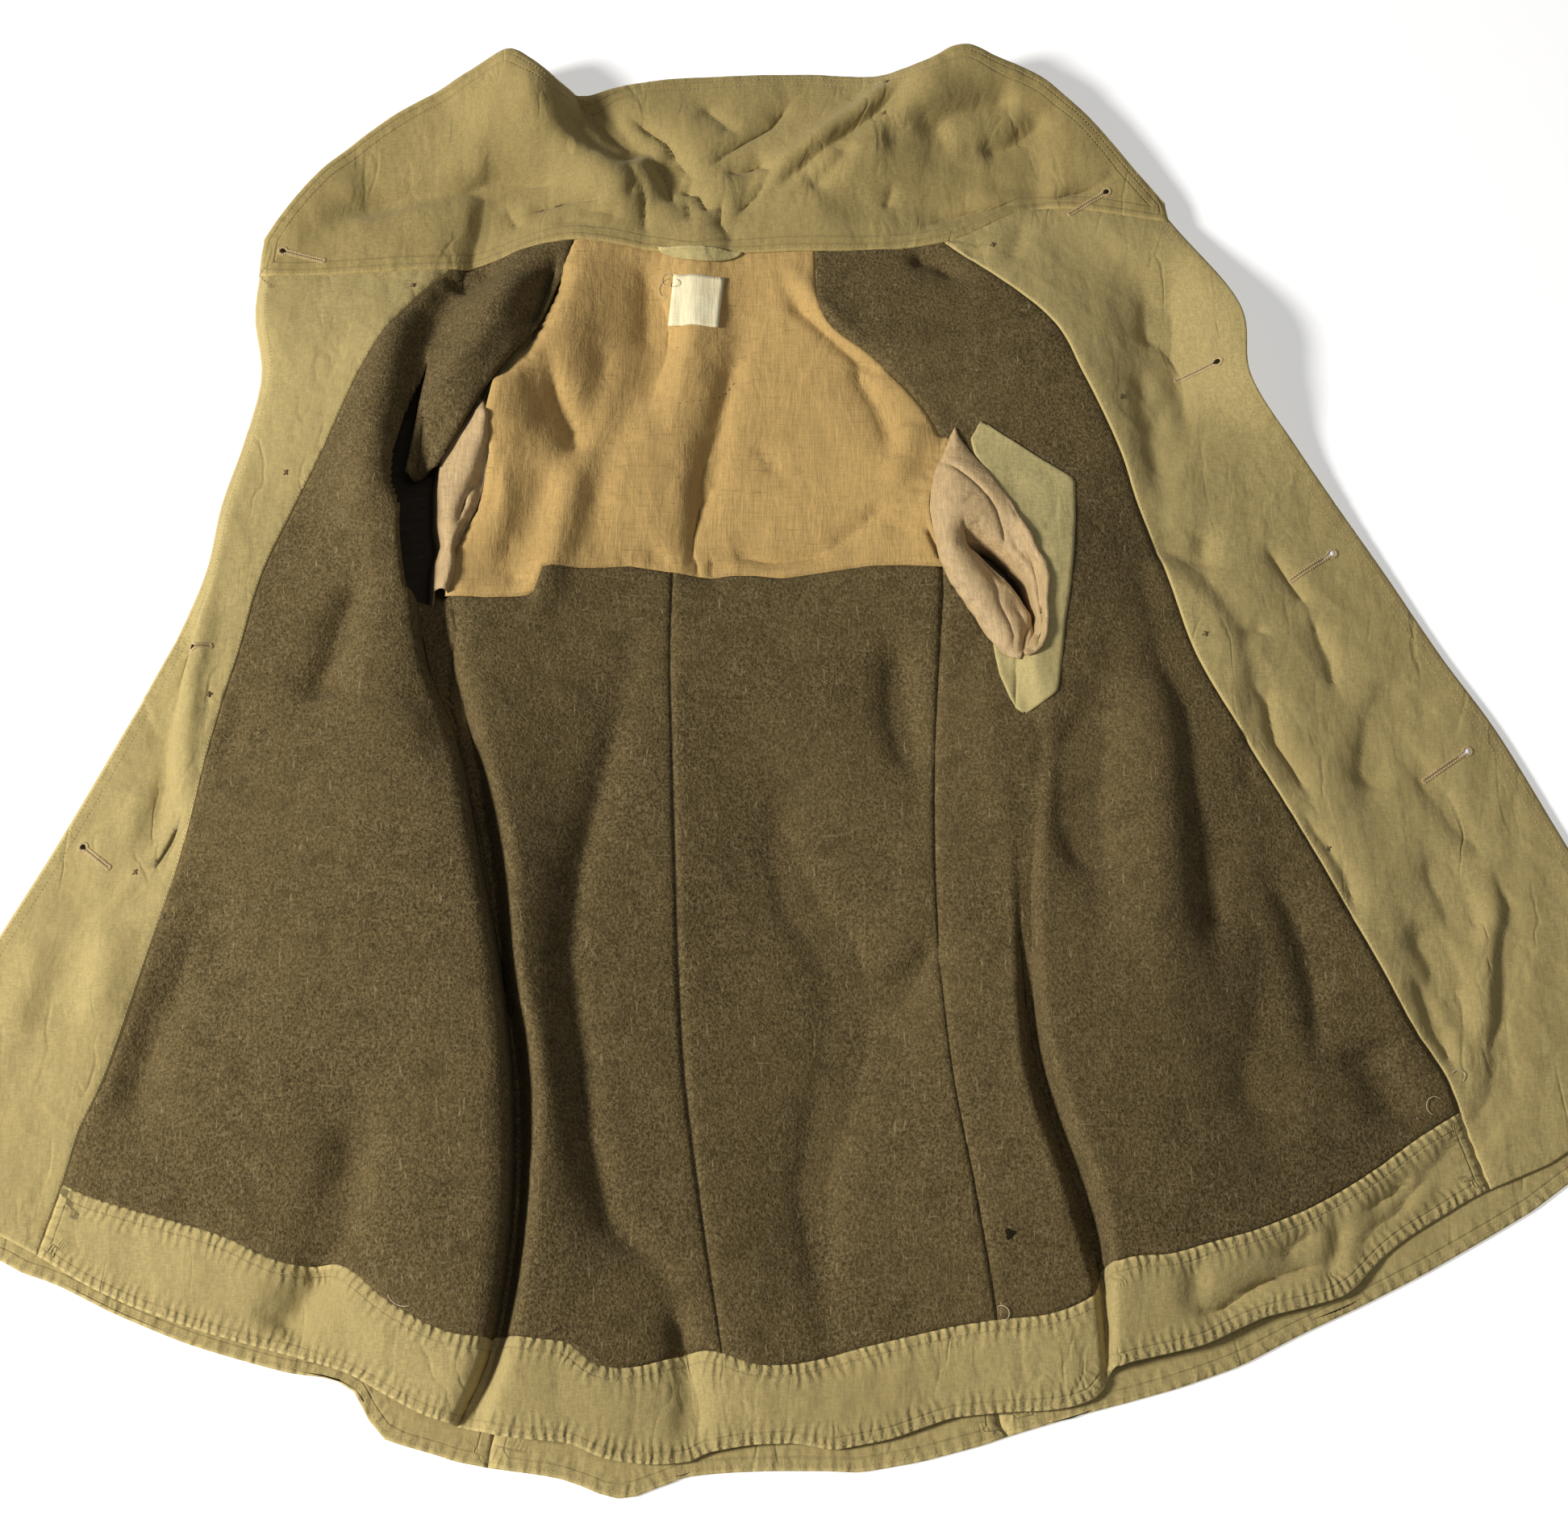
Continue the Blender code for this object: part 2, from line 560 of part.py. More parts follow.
def highest(x, y, top, net):
    """Highest point of the cloth under a small net."""
    low, high = net.min(axis=(0, 1)), net.max(axis=(0, 1))
    across = np.linspace(low[0], high[0], 12)
    along = np.linspace(low[1], high[1], 8)
    return max(height_at(x, y, top, px, py) for px in across for py in along)


def settle(collection):
    """Puts the origin at the middle of the coat's own box, on the table."""
    corners = np.array([v.co[:] if not o.location.length else (o.matrix_world @ v.co)[:]
                        for o in collection.objects for v in o.data.vertices])
    middle = (corners.min(axis=0) + corners.max(axis=0)) / 2
    for made in collection.objects:
        where = made.location.copy()
        made.location = (0, 0, 0)
        for vertex in made.data.vertices:
            vertex.co.x += where.x - middle[0]
            vertex.co.y += where.y - middle[1]
            vertex.co.z += where.z
    print("moved by", middle[:2] * 1000)


def main():
    clear_scene()
    collection = bpy.data.collections.new("mackinaw_coat")
    bpy.context.scene.collection.children.link(collection)
    paint = make_materials()
    x, y, lining, shell = lay_out()
    add_body(x, y, lining, shell, paint, collection)
    add_mouth_lining(x, y, lining, "sleeve_lining_right", "arm_top", "waist", "mouth_l", "mouth_r",
                     "right", paint["pinkish_satin"], collection)
    add_mouth_lining(x, y, lining, "sleeve_lining_left", "arm_top", "yoke", "valley_l", "ridge_l",
                     "left", paint["pinkish_satin"], collection)
    add_sleeve("sleeve_left", SLEEVE_LEFT, paint["khaki_poplin"], collection)
    add_sleeve("sleeve_right", SLEEVE_RIGHT, paint["khaki_poplin"], collection)
    add_collar("collar", x, y, lining, 0.0, COLLAR_WALL, paint["khaki_poplin"], collection)
    add_collar("under_collar", x, y, lining, COLLAR_WALL + GAP, COLLAR_WALL, paint["khaki_poplin"], collection)
    add_buttons(x, y, paint, collection)
    add_trims(x, y, lining, paint, collection)
    settle(collection)


main()
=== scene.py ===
"""Mackinaw coat laid open with its lining up: cloth, stitching, studio and camera."""

import math

import bmesh
import bpy
import numpy as np
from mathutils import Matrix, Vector, noise
from mathutils.bvhtree import BVHTree


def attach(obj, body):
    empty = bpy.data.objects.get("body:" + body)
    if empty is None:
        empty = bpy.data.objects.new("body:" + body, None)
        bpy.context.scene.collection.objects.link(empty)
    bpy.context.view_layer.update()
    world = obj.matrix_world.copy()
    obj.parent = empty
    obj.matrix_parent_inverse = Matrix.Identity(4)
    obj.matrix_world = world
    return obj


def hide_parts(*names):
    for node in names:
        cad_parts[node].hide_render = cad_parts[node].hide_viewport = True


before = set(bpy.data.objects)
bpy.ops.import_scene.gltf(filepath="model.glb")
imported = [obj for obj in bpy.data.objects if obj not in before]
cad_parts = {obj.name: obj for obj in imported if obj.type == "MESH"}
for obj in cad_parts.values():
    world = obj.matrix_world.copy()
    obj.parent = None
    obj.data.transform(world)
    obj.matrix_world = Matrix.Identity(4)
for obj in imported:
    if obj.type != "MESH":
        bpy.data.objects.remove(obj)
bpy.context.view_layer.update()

bl_info = {
    "name": "Mackinaw coat, laid open",
    "version": (1, 0, 0),
    "blender": (4, 5, 0),
    "location": "View3D > Sidebar > Coat",
    "description": "Builds a wool-lined coat laid open on its face",
    "category": "Object",
}

MM = 0.001
MIDDLE = (-0.5, 39.1)     # where the coat's own box has its middle on the layout below, mm
PHOTO_SIZE = (1944, 1904)
FOCAL_PIXELS = 3200.0
CAMERA_REACH = 1600.0     # camera to the point it looks at, mm
CAMERA_TILT = 20.0        # degrees off straight down, towards the hem

# chalk lines down the coat, left to right, and how many fine strips lie between them
LINES = ("edge_l", "fold_l", "facing_l", "valley_l", "ridge_l", "trough_l", "centre",
         "trough_r", "side_r", "mouth_l", "mouth_r", "facing_r", "mid_r", "edge_r")
STRIPS = (18, 26, 50, 18, 20, 14, 18, 30, 10, 16, 50, 32, 34)
ROWS = 24                 # fine rows between one section and the next
SHELL_SLACK = 12.0        # mm that the outer cloth sinks below the lining, away from the edges
LINING_RISE = 2.1         # mm from the outer cloth's underside up to the lining's
FOLD_GAIN = 2.0           # the fold tables' heights are times this
FOLD_SPREAD = 1.25        # and their half widths are times this
CREASE_WIDTH = 5.1        # mm, folds narrower than this have a sharp bottom
OVERHANG = 7.0            # mm that the left front's fold leans over its valley

# x in mm of every chalk line where it crosses each section, neck to hem
ACROSS = {
    "neck":        (-347, -339, -218, -200, -138,  -83,  -58,  -29,   20,   27,   63,  104,  171,  256),
    "shoulder":    (-348, -338, -248, -224, -159,  -79,  -60,  -28,   26,   33,   99,  171,  241,  297),
    "chest":       (-341, -331, -273, -233, -183,  -83,  -64,  -32,   67,   72,  132,  194,  251,  301),
    "arm_top":     (-349, -339, -294, -243, -215,  -97,  -67,  -41,  100,  107,  116,  215,  264,  328),
    "arm_mid":     (-360, -350, -311, -248, -214, -113,  -69,  -47,   87,   93,  140,  225,  288,  353),
    "yoke":        (-367, -357, -329, -242, -208, -105,  -70,  -42,  100,  105,  164,  242,  310,  381),
    "waist":       (-387, -368, -340, -232, -198,  -95,  -71,  -14,   98,  140,  157,  257,  337,  413),
    "hip":         (-410, -371, -352, -212, -183, -105,  -69,   -1,   94,  131,  167,  283,  364,  444),
    "seat":        (-444, -371, -363, -196, -162, -121,  -66,    0,   92,  135,  159,  320,  403,  478),
    "thigh":       (-482, -429, -381, -181, -154, -128,  -63,   35,   94,  135,  155,  355,  435,  513),
    "low":         (-516, -458, -400, -172, -140, -120,  -58,   35,  100,  138,  163,  373,  449,  530),
    "lower":       (-532, -473, -412, -170, -140, -100,  -47,   19,  112,  159,  185,  390,  462,  538),
    "facing_top":  (-544, -486, -420, -177, -149,  -59,  -35,   25,  122,  174,  191,  398,  473,  543),
    "facing_foot": (-547, -492, -432, -192, -164,  -53,  -30,   28,  122,  177,  191,  412,  482,  546),
    "hem":         (-549, -494, -437, -197, -167,  -62,  -45,   26,  127,  167,  193,  419,  487,  548),
}

# y in mm of the same crossings, plus towards the collar
ALONG = {
    "neck":        ( 347,  343,  350,  356,  369,  363,  358,  362,  362,  362,  363,  368,  395,  384),
    "shoulder":    ( 314,  308,  310,  311,  304,  309,  303,  305,  311,  310,  312,  310,  325,  313),
    "chest":       ( 270,  264,  263,  256,  260,  267,  262,  264,  271,  270,  266,  264,  273,  260),
    "arm_top":     ( 221,  215,  207,  191,  196,  212,  215,  220,  220,  219,  214,  212,  223,  219),
    "arm_mid":     ( 177,  172,  171,  153,  159,  169,  170,  176,  174,  173,  172,  174,  180,  178),
    "yoke":        ( 128,  123,  122,  108,  101,  126,  126,  126,  128,  126,  118,  122,  130,  131),
    "waist":       (  73,   68,   68,   59,   62,   72,   71,   71,   79,   69,   65,   70,   75,   73),
    "hip":         (  23,   19,   17,   10,   15,   17,   15,   19,   16,   17,   14,   17,   22,   21),
    "seat":        ( -50,  -53,  -54,  -63,  -59,  -59,  -60,  -57,  -58,  -58,  -60,  -55,  -49,  -50),
    "thigh":       (-126, -127, -128, -135, -133, -130, -130, -123, -129, -129, -132, -127, -120, -122),
    "low":         (-198, -198, -197, -205, -203, -201, -201, -192, -197, -197, -197, -166, -156, -159),
    "lower":       (-230, -231, -228, -281, -280, -284, -281, -265, -268, -270, -263, -195, -184, -178),
    "facing_top":  (-256, -259, -261, -348, -351, -360, -360, -360, -340, -329, -309, -218, -204, -189),
    "facing_foot": (-263, -281, -298, -399, -403, -409, -406, -411, -391, -384, -365, -265, -229, -196),
    "hem":         (-267, -288, -313, -414, -421, -427, -424, -422, -403, -393, -385, -285, -243, -199),
}

# height in mm of the lining's underside there
HEIGHT = {
    "neck":        ( 5, 12, 12,  6, 14,  9, 12,  9, 12, 12, 12, 14, 14, 12),
    "shoulder":    ( 4, 15, 20, 22, 26,  5, 13,  6, 14, 15, 16, 18,  8, 26),
    "chest":       ( 4, 15, 23, 30, 30,  6, 13,  7, 14, 15, 18, 20,  9, 28),
    "arm_top":     ( 4, 15, 23, 34, 24, 14, 13,  7, 16, 17, 18, 18, 10, 12),
    "arm_mid":     ( 4, 15, 16, 36, 23, 15, 13,  7, 16, 18, 24, 16,  9,  6),
    "yoke":        ( 4, 15, 16, 37, 26, 15, 13,  9, 14, 16, 26, 16,  8,  3),
    "waist":       ( 2, 14, 16, 38, 29, 14, 13, 10, 12, 18, 22, 15,  7,  2),
    "hip":         ( 2, 12, 16, 38, 31, 15, 13,  8, 11, 15, 22, 14,  6,  2),
    "seat":        ( 2, 12, 16, 38, 32, 17, 13,  6, 12, 16, 24, 13,  5,  2),
    "thigh":       ( 2,  5, 14, 38, 32, 20, 13,  5, 13, 18, 28, 12,  4,  2),
    "low":         ( 2,  4, 11, 36, 31, 19, 13,  5, 14, 20, 30, 10,  4,  2),
    "lower":       ( 2,  3,  8, 31, 28, 16, 13,  7, 13, 18, 28,  8,  3,  2),
    "facing_top":  ( 2,  3,  6, 22, 21, 11, 11,  8, 10, 12, 22,  6,  3,  2),
    "facing_foot": ( 2,  2,  3, 10, 11,  4,  5,  4,  4,  4,  8,  3,  2,  2),
    "hem":         ( 2,  2,  2,  6,  6,  2,  2,  2,  2,  2,  3,  2,  2,  2),
}

# mm that the floors of the left and the right valley lie below their rims, section by section
VALLEY_DROP = dict(zip(ACROSS, (
    (0, 0), (0, 0), (4, 0), (12, 0), (28, 0), (31, 0), (31, 1), (33, 3), (34, 8), (34, 16),
    (33, 20), (30, 20), (22, 15), (8, 4), (3, 1),
)))

# listed folds: height in mm (minus is a trough), half width in mm, points along it
FOLDS = (
    # back
    (-3, 7, ((-94, 80), (-106, 12), (-115, -33), (-125, -72), (-129, -127), (-122, -180), (-116, -233),
     (-101, -284), (-88, -295), (-70, -313), (-63, -331), (-59, -354))),
    (-4, 6, ((-63, -330), (-56, -359), (-52, -386), (-53, -409))),
    (-4, 9, ((-1, -10), (-1, -58), (10, -94), (33, -119), (38, -153), (35, -193), (17, -258), (22, -314),
     (28, -360))),
    (-5, 9, ((70, 82), (72, 27), (82, -10))),
    (-5, 8, ((94, -114), (75, -138), (59, -154))),
    (-9, 5, ((128, 90), (132, 65), (137, 46), (146, 20), (157, -2))),
    # right front
    (-9, 11, ((196, 35), (184, 2), (180, -41), (191, -83))),
    (-7, 13, ((239, 162), (246, 117), (250, 95), (254, 56), (257, 31), (260, -1), (258, -27), (257, -57))),
    (-4.5, 8, ((258, -27), (256, -57), (254, -76), (255, -96), (256, -121))),
    (-5.4, 14, ((297, -66), (300, -94), (307, -130), (299, -165), (279, -206), (283, -221), (280, -237))),
    # left front
    (-6, 9, ((-263, 120), (-273, 88), (-282, 53), (-292, 29))),
    (-3, 7, ((-339, 38), (-341, 19), (-342, -2))),
    (-5, 11, ((-341, -94), (-349, -129), (-372, -166), (-379, -196), (-385, -232))),
    (-7, 11, ((-247, -223), (-252, -259), (-259, -286), (-265, -308))),
    (-5, 9, ((-261, -305), (-271, -323), (-291, -349))),
    (5, 15, ((-241, 316), (-254, 278), (-261, 237), (-262, 191), (-256, 141))),
    # shoulder tongue and the yoke's left end
    (-5, 9, ((-192, 352), (-206, 341), (-218, 328))),
    (-7.2, 10, ((-204, 344), (-216, 330), (-228, 303), (-235, 275), (-238, 244), (-240, 216),
     (-239, 196), (-234, 176), (-228, 154), (-225, 126))),
    (6, 11, ((-168, 344), (-184, 311), (-199, 275), (-213, 243), (-220, 217))),
    (-11, 4, ((-150, 353), (-155, 339), (-161, 316), (-168, 294))),
    (-1.3, 6, ((-164, 301), (-157, 280), (-151, 256), (-141, 227), (-134, 203))),
    (-1.6, 8, ((-146, 204), (-154, 180), (-164, 156), (-169, 128))),
    (2.2, 14, ((-177, 247), (-177, 212), (-184, 167), (-193, 125))),
    (-1.8, 3, ((-179, 150), (-174, 130), (-167, 112))),
    (-1.8, 3, ((-167, 301), (-169, 280), (-161, 244), (-151, 221))),
    (-3.6, 5.2, ((-153, 272), (-149, 250), (-137, 226), (-134, 201))),
    (-1.8, 5, ((-129, 218), (-124, 244), (-119, 273), (-117, 295))),
    (3.6, 7, ((-133, 206), (-139, 160), (-148, 123), (-155, 96))),
    # right facing and hem
    (-1.5, 13, ((262, 366), (256, 328), (254, 291), (256, 261), (264, 226))),
    (-2.2, 8, ((235, 280), (236, 250), (237, 218), (241, 178))),
    (-3.2, 4, ((332, 99), (337, 83), (342, 69), (343, 48))),
    (-3.6, 4, ((303, 53), (300, 34), (303, 13), (313, -4), (322, -25))),
    (-4.4, 7, ((376, 48), (372, 31), (364, 6), (359, -20))),
    (-3.6, 3.2, ((376, 24), (395, -9), (410, -33), (423, -54))),
    (-5.2, 3.6, ((435, -73), (439, -93), (436, -109), (431, -127), (427, -154), (423, -181), (425, -174),
     (424, -204), (420, -216), (411, -223), (405, -233))),
    (-3, 3.5, ((468, -65), (473, -82), (472, -102))),
    # left facing
    (2.5, 8, ((-390, -9), (-396, -33), (-398, -53), (-399, -85))),
    (2.5, 10, ((-405, -101), (-405, -130), (-410, -168))),
    (2.5, 10, ((-451, -107), (-452, -140), (-461, -172))),
    (2, 5, ((-362, 106), (-363, 91), (-363, 77), (-367, 58), (-367, 38), (-367, 13), (-367, -15),
     (-366, -41))),
    # right facing and hem again
    (-3, 3.6, ((316, -33), (329, -53), (340, -71), (344, -92), (344, -101))),
    (-3.9, 7, ((394, -58), (406, -88), (417, -114))),
    (-3.8, 3.4, ((451, -24), (456, -41), (456, -54), (455, -65), (446, -71), (436, -73))),
    (2.4, 7, ((430, -73), (431, -93), (425, -127), (421, -154), (416, -181))),
    (-4.7, 8, ((380, -102), (392, -123), (400, -150))),
    (-2.6, 4, ((376, -134), (384, -159), (391, -181))),
    (-3, 4, ((384, 32), (394, 37), (402, 43))),
    (-2.2, 3, ((267, 73), (278, 82), (297, 89), (306, 84))),
    (-2.2, 3, ((277, 65), (291, 51), (301, 37))),
    (-2.8, 4, ((381, -141), (391, -174), (397, -194))),
    (-2.6, 5, ((395, -127), (402, -153), (406, -172))),
    (-3, 3.2, ((417, -212), (410, -227), (403, -237))),
    (-4.8, 3.2, ((398, -225), (391, -247), (383, -262))),
    (-4.8, 3.6, ((384, -245), (371, -261), (355, -278), (336, -295), (333, -305))),
    (-2.6, 3.4, ((364, -255), (354, -267), (337, -276))),
    (-3, 5, ((322, -280), (319, -297), (313, -320))),
    (-3.8, 3.2, ((258, -326), (274, -318), (293, -312), (310, -307))),
    (-3.6, 3, ((236, -336), (250, -333), (260, -327), (259, -322))),
    (-2.4, 4, ((284, -305), (298, -293), (309, -290))),
    (-2, 5, ((233, -305), (235, -322), (233, -335))),
    (-3.6, 3.6, ((337, -307), (353, -291), (370, -282), (400, -270), (404, -259), (404, -245))),
    (2.4, 6, ((345, -282), (365, -269), (378, -255))),
    # right front again
    (4.5, 18, ((226, 76), (232, 18), (233, -39), (228, -112), (229, -166))),
    (-3.8, 12, ((340, -175), (348, -195), (357, -213), (357, -229))),
    (-3.8, 11, ((304, -129), (301, -161), (292, -185))),
    # yoke
    (-2.2, 8, ((-91, 359), (-89, 331), (-87, 307), (-88, 284))),
    (-3, 3.2, ((-89, 336), (-81, 307), (-78, 293), (-85, 267), (-88, 244))),
    (-2.2, 8, ((-91, 278), (-100, 248), (-111, 218), (-120, 182), (-122, 149))),
    (-2.8, 6, ((-29, 293), (-36, 263), (-44, 226), (-49, 203), (-55, 172))),
    (-3, 3.4, ((-47, 215), (-54, 178), (-58, 154), (-59, 130))),
    (-3, 5, ((1, 336), (11, 318), (30, 298), (43, 286), (58, 273), (73, 267))),
    (1.8, 5, ((5, 347), (18, 325), (33, 306), (50, 287), (64, 272))),
    (-3.1, 4, ((45, 282), (50, 263), (60, 246), (66, 228), (72, 207))),
    (3, 7, ((84, 235), (77, 207), (70, 181))),
    (-2.4, 4, ((31, 144), (43, 156), (57, 167), (68, 178))),
    (-3, 4, ((-39, 131), (-27, 140), (-6, 136), (16, 139), (34, 145))),
    (-1.6, 4, ((-17, 222), (-10, 206), (-2, 194))),
    (-1.3, 2.4, ((-83, 145), (-82, 130))),
    (-1.3, 2.4, ((-77, 142), (-76, 128))),
    (-1.3, 2.4, ((-56, 140), (-55, 123))),
    (-1.3, 2.4, ((-46, 139), (-46, 124))),
    (-1.3, 2.4, ((-39, 139), (-41, 126))),
    (-0.9, 3, ((66, 227), (78, 230), (87, 228))),
    (-0.9, 3, ((68, 209), (76, 207), (85, 205))),
    (-0.9, 3, ((66, 173), (74, 170), (83, 165))),
    (-0.9, 3, ((68, 160), (76, 156), (84, 152))),
    (-0.9, 3, ((66, 189), (83, 187))),
    # right shoulder
    (-4, 6, ((81, 356), (101, 350), (119, 338))),
    # collar
    (-4, 6, ((-152, 463), (-139, 450), (-125, 438), (-110, 431), (-94, 431))),
    (-5, 4, ((-146, 482), (-133, 468), (-117, 454), (-106, 442))),
    (-5, 8, ((-139, 480), (-126, 468), (-114, 454), (-102, 442), (-86, 433))),
    (-4, 3.6, ((-105, 468), (-95, 459), (-80, 447), (-68, 429), (-59, 416))),
    (-4, 3.6, ((-89, 435), (-81, 416), (-77, 404), (-72, 393))),
    (-4, 3.6, ((-69, 408), (-57, 403), (-49, 386))),
    (-3.6, 8, ((-85, 436), (-71, 416), (-57, 406))),
    (-3.4, 4, ((-50, 420), (-41, 433), (-25, 445), (-8, 457), (5, 477))),
    (-3, 3.6, ((-42, 420), (-30, 419), (-15, 425), (-9, 421), (-10, 414))),
    (-3, 3.2, ((-41, 399), (-43, 380), (-35, 368), (-38, 360))),
    (-2.6, 3.4, ((-221, 405), (-207, 411), (-187, 414), (-169, 414), (-148, 411))),
    (-3.2, 4, ((-174, 389), (-161, 393), (-146, 396), (-131, 397), (-116, 396))),
    (-2, 3, ((-186, 396), (-180, 386), (-176, 377))),
    (-2, 3.4, ((-137, 385), (-123, 388), (-107, 383))),
    (-2, 3.4, ((-153, 379), (-136, 379), (-120, 373))),
    (-2.2, 3.2, ((-98, 415), (-94, 398), (-92, 370))),
    (-2.2, 3.2, ((-65, 399), (-62, 380))),
    (-2, 3.2, ((-104, 422), (-101, 408), (-104, 394))),
    (-2.4, 4, ((-56, 475), (-44, 463), (-32, 450))),
    (-2, 3, ((-10, 415), (-18, 401), (-31, 387))),
    (-5, 8, ((80, 451), (101, 456), (122, 465), (143, 472), (161, 481))),
    (-3, 9, ((61, 438), (90, 442), (116, 448))),
    (-3.8, 6, ((128, 434), (151, 441), (168, 453), (180, 463))),
    (-2.8, 5, ((16, 402), (26, 411), (39, 424), (44, 437))),
    (-1.8, 3, ((72, 408), (68, 391))),
    (-4.6, 3.8, ((86, 373), (100, 382), (124, 390), (150, 395), (172, 395), (189, 403), (210, 409),
     (219, 415))),
    (2.4, 5, ((100, 386), (124, 393), (150, 399), (170, 399), (188, 408), (208, 413))),
    (-3, 12, ((22, 403), (56, 396), (107, 396), (141, 406))),
    # lapels and the pit's foot
    (-2, 3, ((161, 382), (155, 366), (149, 349))),
    (-2, 3, ((121, 354), (133, 363))),
    (-9, 9, ((-226, 128), (-224, 105), (-221, 81), (-216, 53), (-209, 21), (-201, -10))),
    (-1.5, 5.2, ((261, 356), (256, 328), (253, 291), (256, 261), (263, 227))),
    (-1, 11, ((241, 345), (237, 303), (240, 261), (242, 218), (244, 179))),
    (-1.8, 5.2, ((239, 334), (240, 320), (239, 304), (236, 289))),
    (-2.8, 6, ((269, 158), (266, 143), (263, 129))),
    (-2.6, 3.4, ((307, 147), (320, 123), (331, 105))),
    # collar's broad forms
    (6, 17, ((-181, 489), (-153, 454), (-122, 419), (-84, 390))),
    (5, 17, ((112, 499), (83, 462), (50, 431), (18, 404))),
    (-2.4, 26, ((146, 491), (143, 449), (125, 402))),
    (-4, 22, ((-296, 402), (-244, 440), (-203, 474))),
    (-5, 9, ((-306, 373), (-287, 391), (-254, 401), (-221, 408), (-199, 413), (-173, 414), (-147, 413))),
    (5, 6, ((-12, 409), (-1, 421), (24, 439), (51, 461), (69, 478), (80, 489))),
    (-4, 5, ((-5, 405), (6, 418), (31, 437), (58, 458), (74, 475), (84, 485))),
)

# collar stations: seam x, then outer edge x, y, z and the rise of the roll between, mm
COLLAR = (
    (-347, -346, 366, 11, 1),
    (-336, -340, 378, 12, 1),
    (-305, -316, 416, 14, 2),
    (-276, -284, 448, 16, 3),
    (-252, -249, 474, 18, 3),
    (-232, -217, 489, 24, 2),
    (-219, -196, 499, 31, 0),
    (-205, -184, 501, 37, -3),
    (-190, -171, 494, 36, -4),
    (-166, -145, 478, 20, -3),
    (-138, -107, 492, 8, 2),
    (-98, -67, 499, 6, 5),
    (-58, -21, 501, 6, 6),
    (-17, 13, 502, 6, 6),
    (22, 44, 499, 7, 8),
    (63, 74, 496, 12, 8),
    (84, 97, 497, 26, 2),
    (104, 114, 505, 33, -2),
    (118, 126, 506, 35, -2),
    (130, 137, 501, 34, -1),
    (171, 170, 490, 27, 0),
    (200, 203, 462, 20, 2),
    (227, 236, 418, 16, 1),
    (250, 254, 396, 12, 0),
)

SLEEVE_SPINES = {
    "left": ((-268, 88), (-271, 45), (-272, -1), (-273, -79), (-276, -155), (-278, -225)),
    "right": ((203, 58), (202, 28), (201, -1), (206, -69), (226, -135), (243, -215)),
}
SLEEVE_WIDTH = (142.0, 120.0)     # at the armhole and at the lower end, mm
SLEEVE_TOP = 12.0                 # height of the flattened sleeve, mm
BUTTON_SPOTS = ((-252, 335), (-321, 201), (-360, 49), (-396, -70),
                (141, 360), (222, 258), (268, 90), (335, -53))

BUTTONHOLES = (
    ("collar_left", (-334, 359), (-304, 351)),
    ("collar_right", (217, 404), (190, 387)),
    ("front_right_1", (283, 273), (256, 267)),
    ("front_right_2", (351, 144), (321, 124)),
    ("front_right_3", (425, 10), (395, -10)),
    ("front_left_1", (-430, -52), (-410, -68)),
    ("front_left_2", (-372, 74), (-357, 74)),
)

THREAD_STUBS = ((-244, 331), (-318, 193), (-356, 42), (-393, -72), (-373, -101), (138, 363),
    (218, 249), (263, 83), (331, -56), (67, 459), (69, 486))

# loose thread ends: where each starts, its heading in radians, its length in mm and its curl
LOOSE_ENDS = (
    ((-225, -327), -1.2, 16, 0.5), ((122, -332), 0.6, 14, -1.1), ((387, -211), 2.2, 20, 1.3),
    ((395, -195), 1.2, 13, -1.2), ((-74, 343), 2.0, 17, 1.5), ((-76, 341), 2.9, 20, 1.1),
    ((-74, 338), 3.6, 16, 1.9),
)
STAIN_ARC = ((-72, 245), (-54, 249), (-41, 255), (-34, 264), (-29, 271))
MOTH_HOLE = (130, -291)
STITCH_WIDTH = 0.55

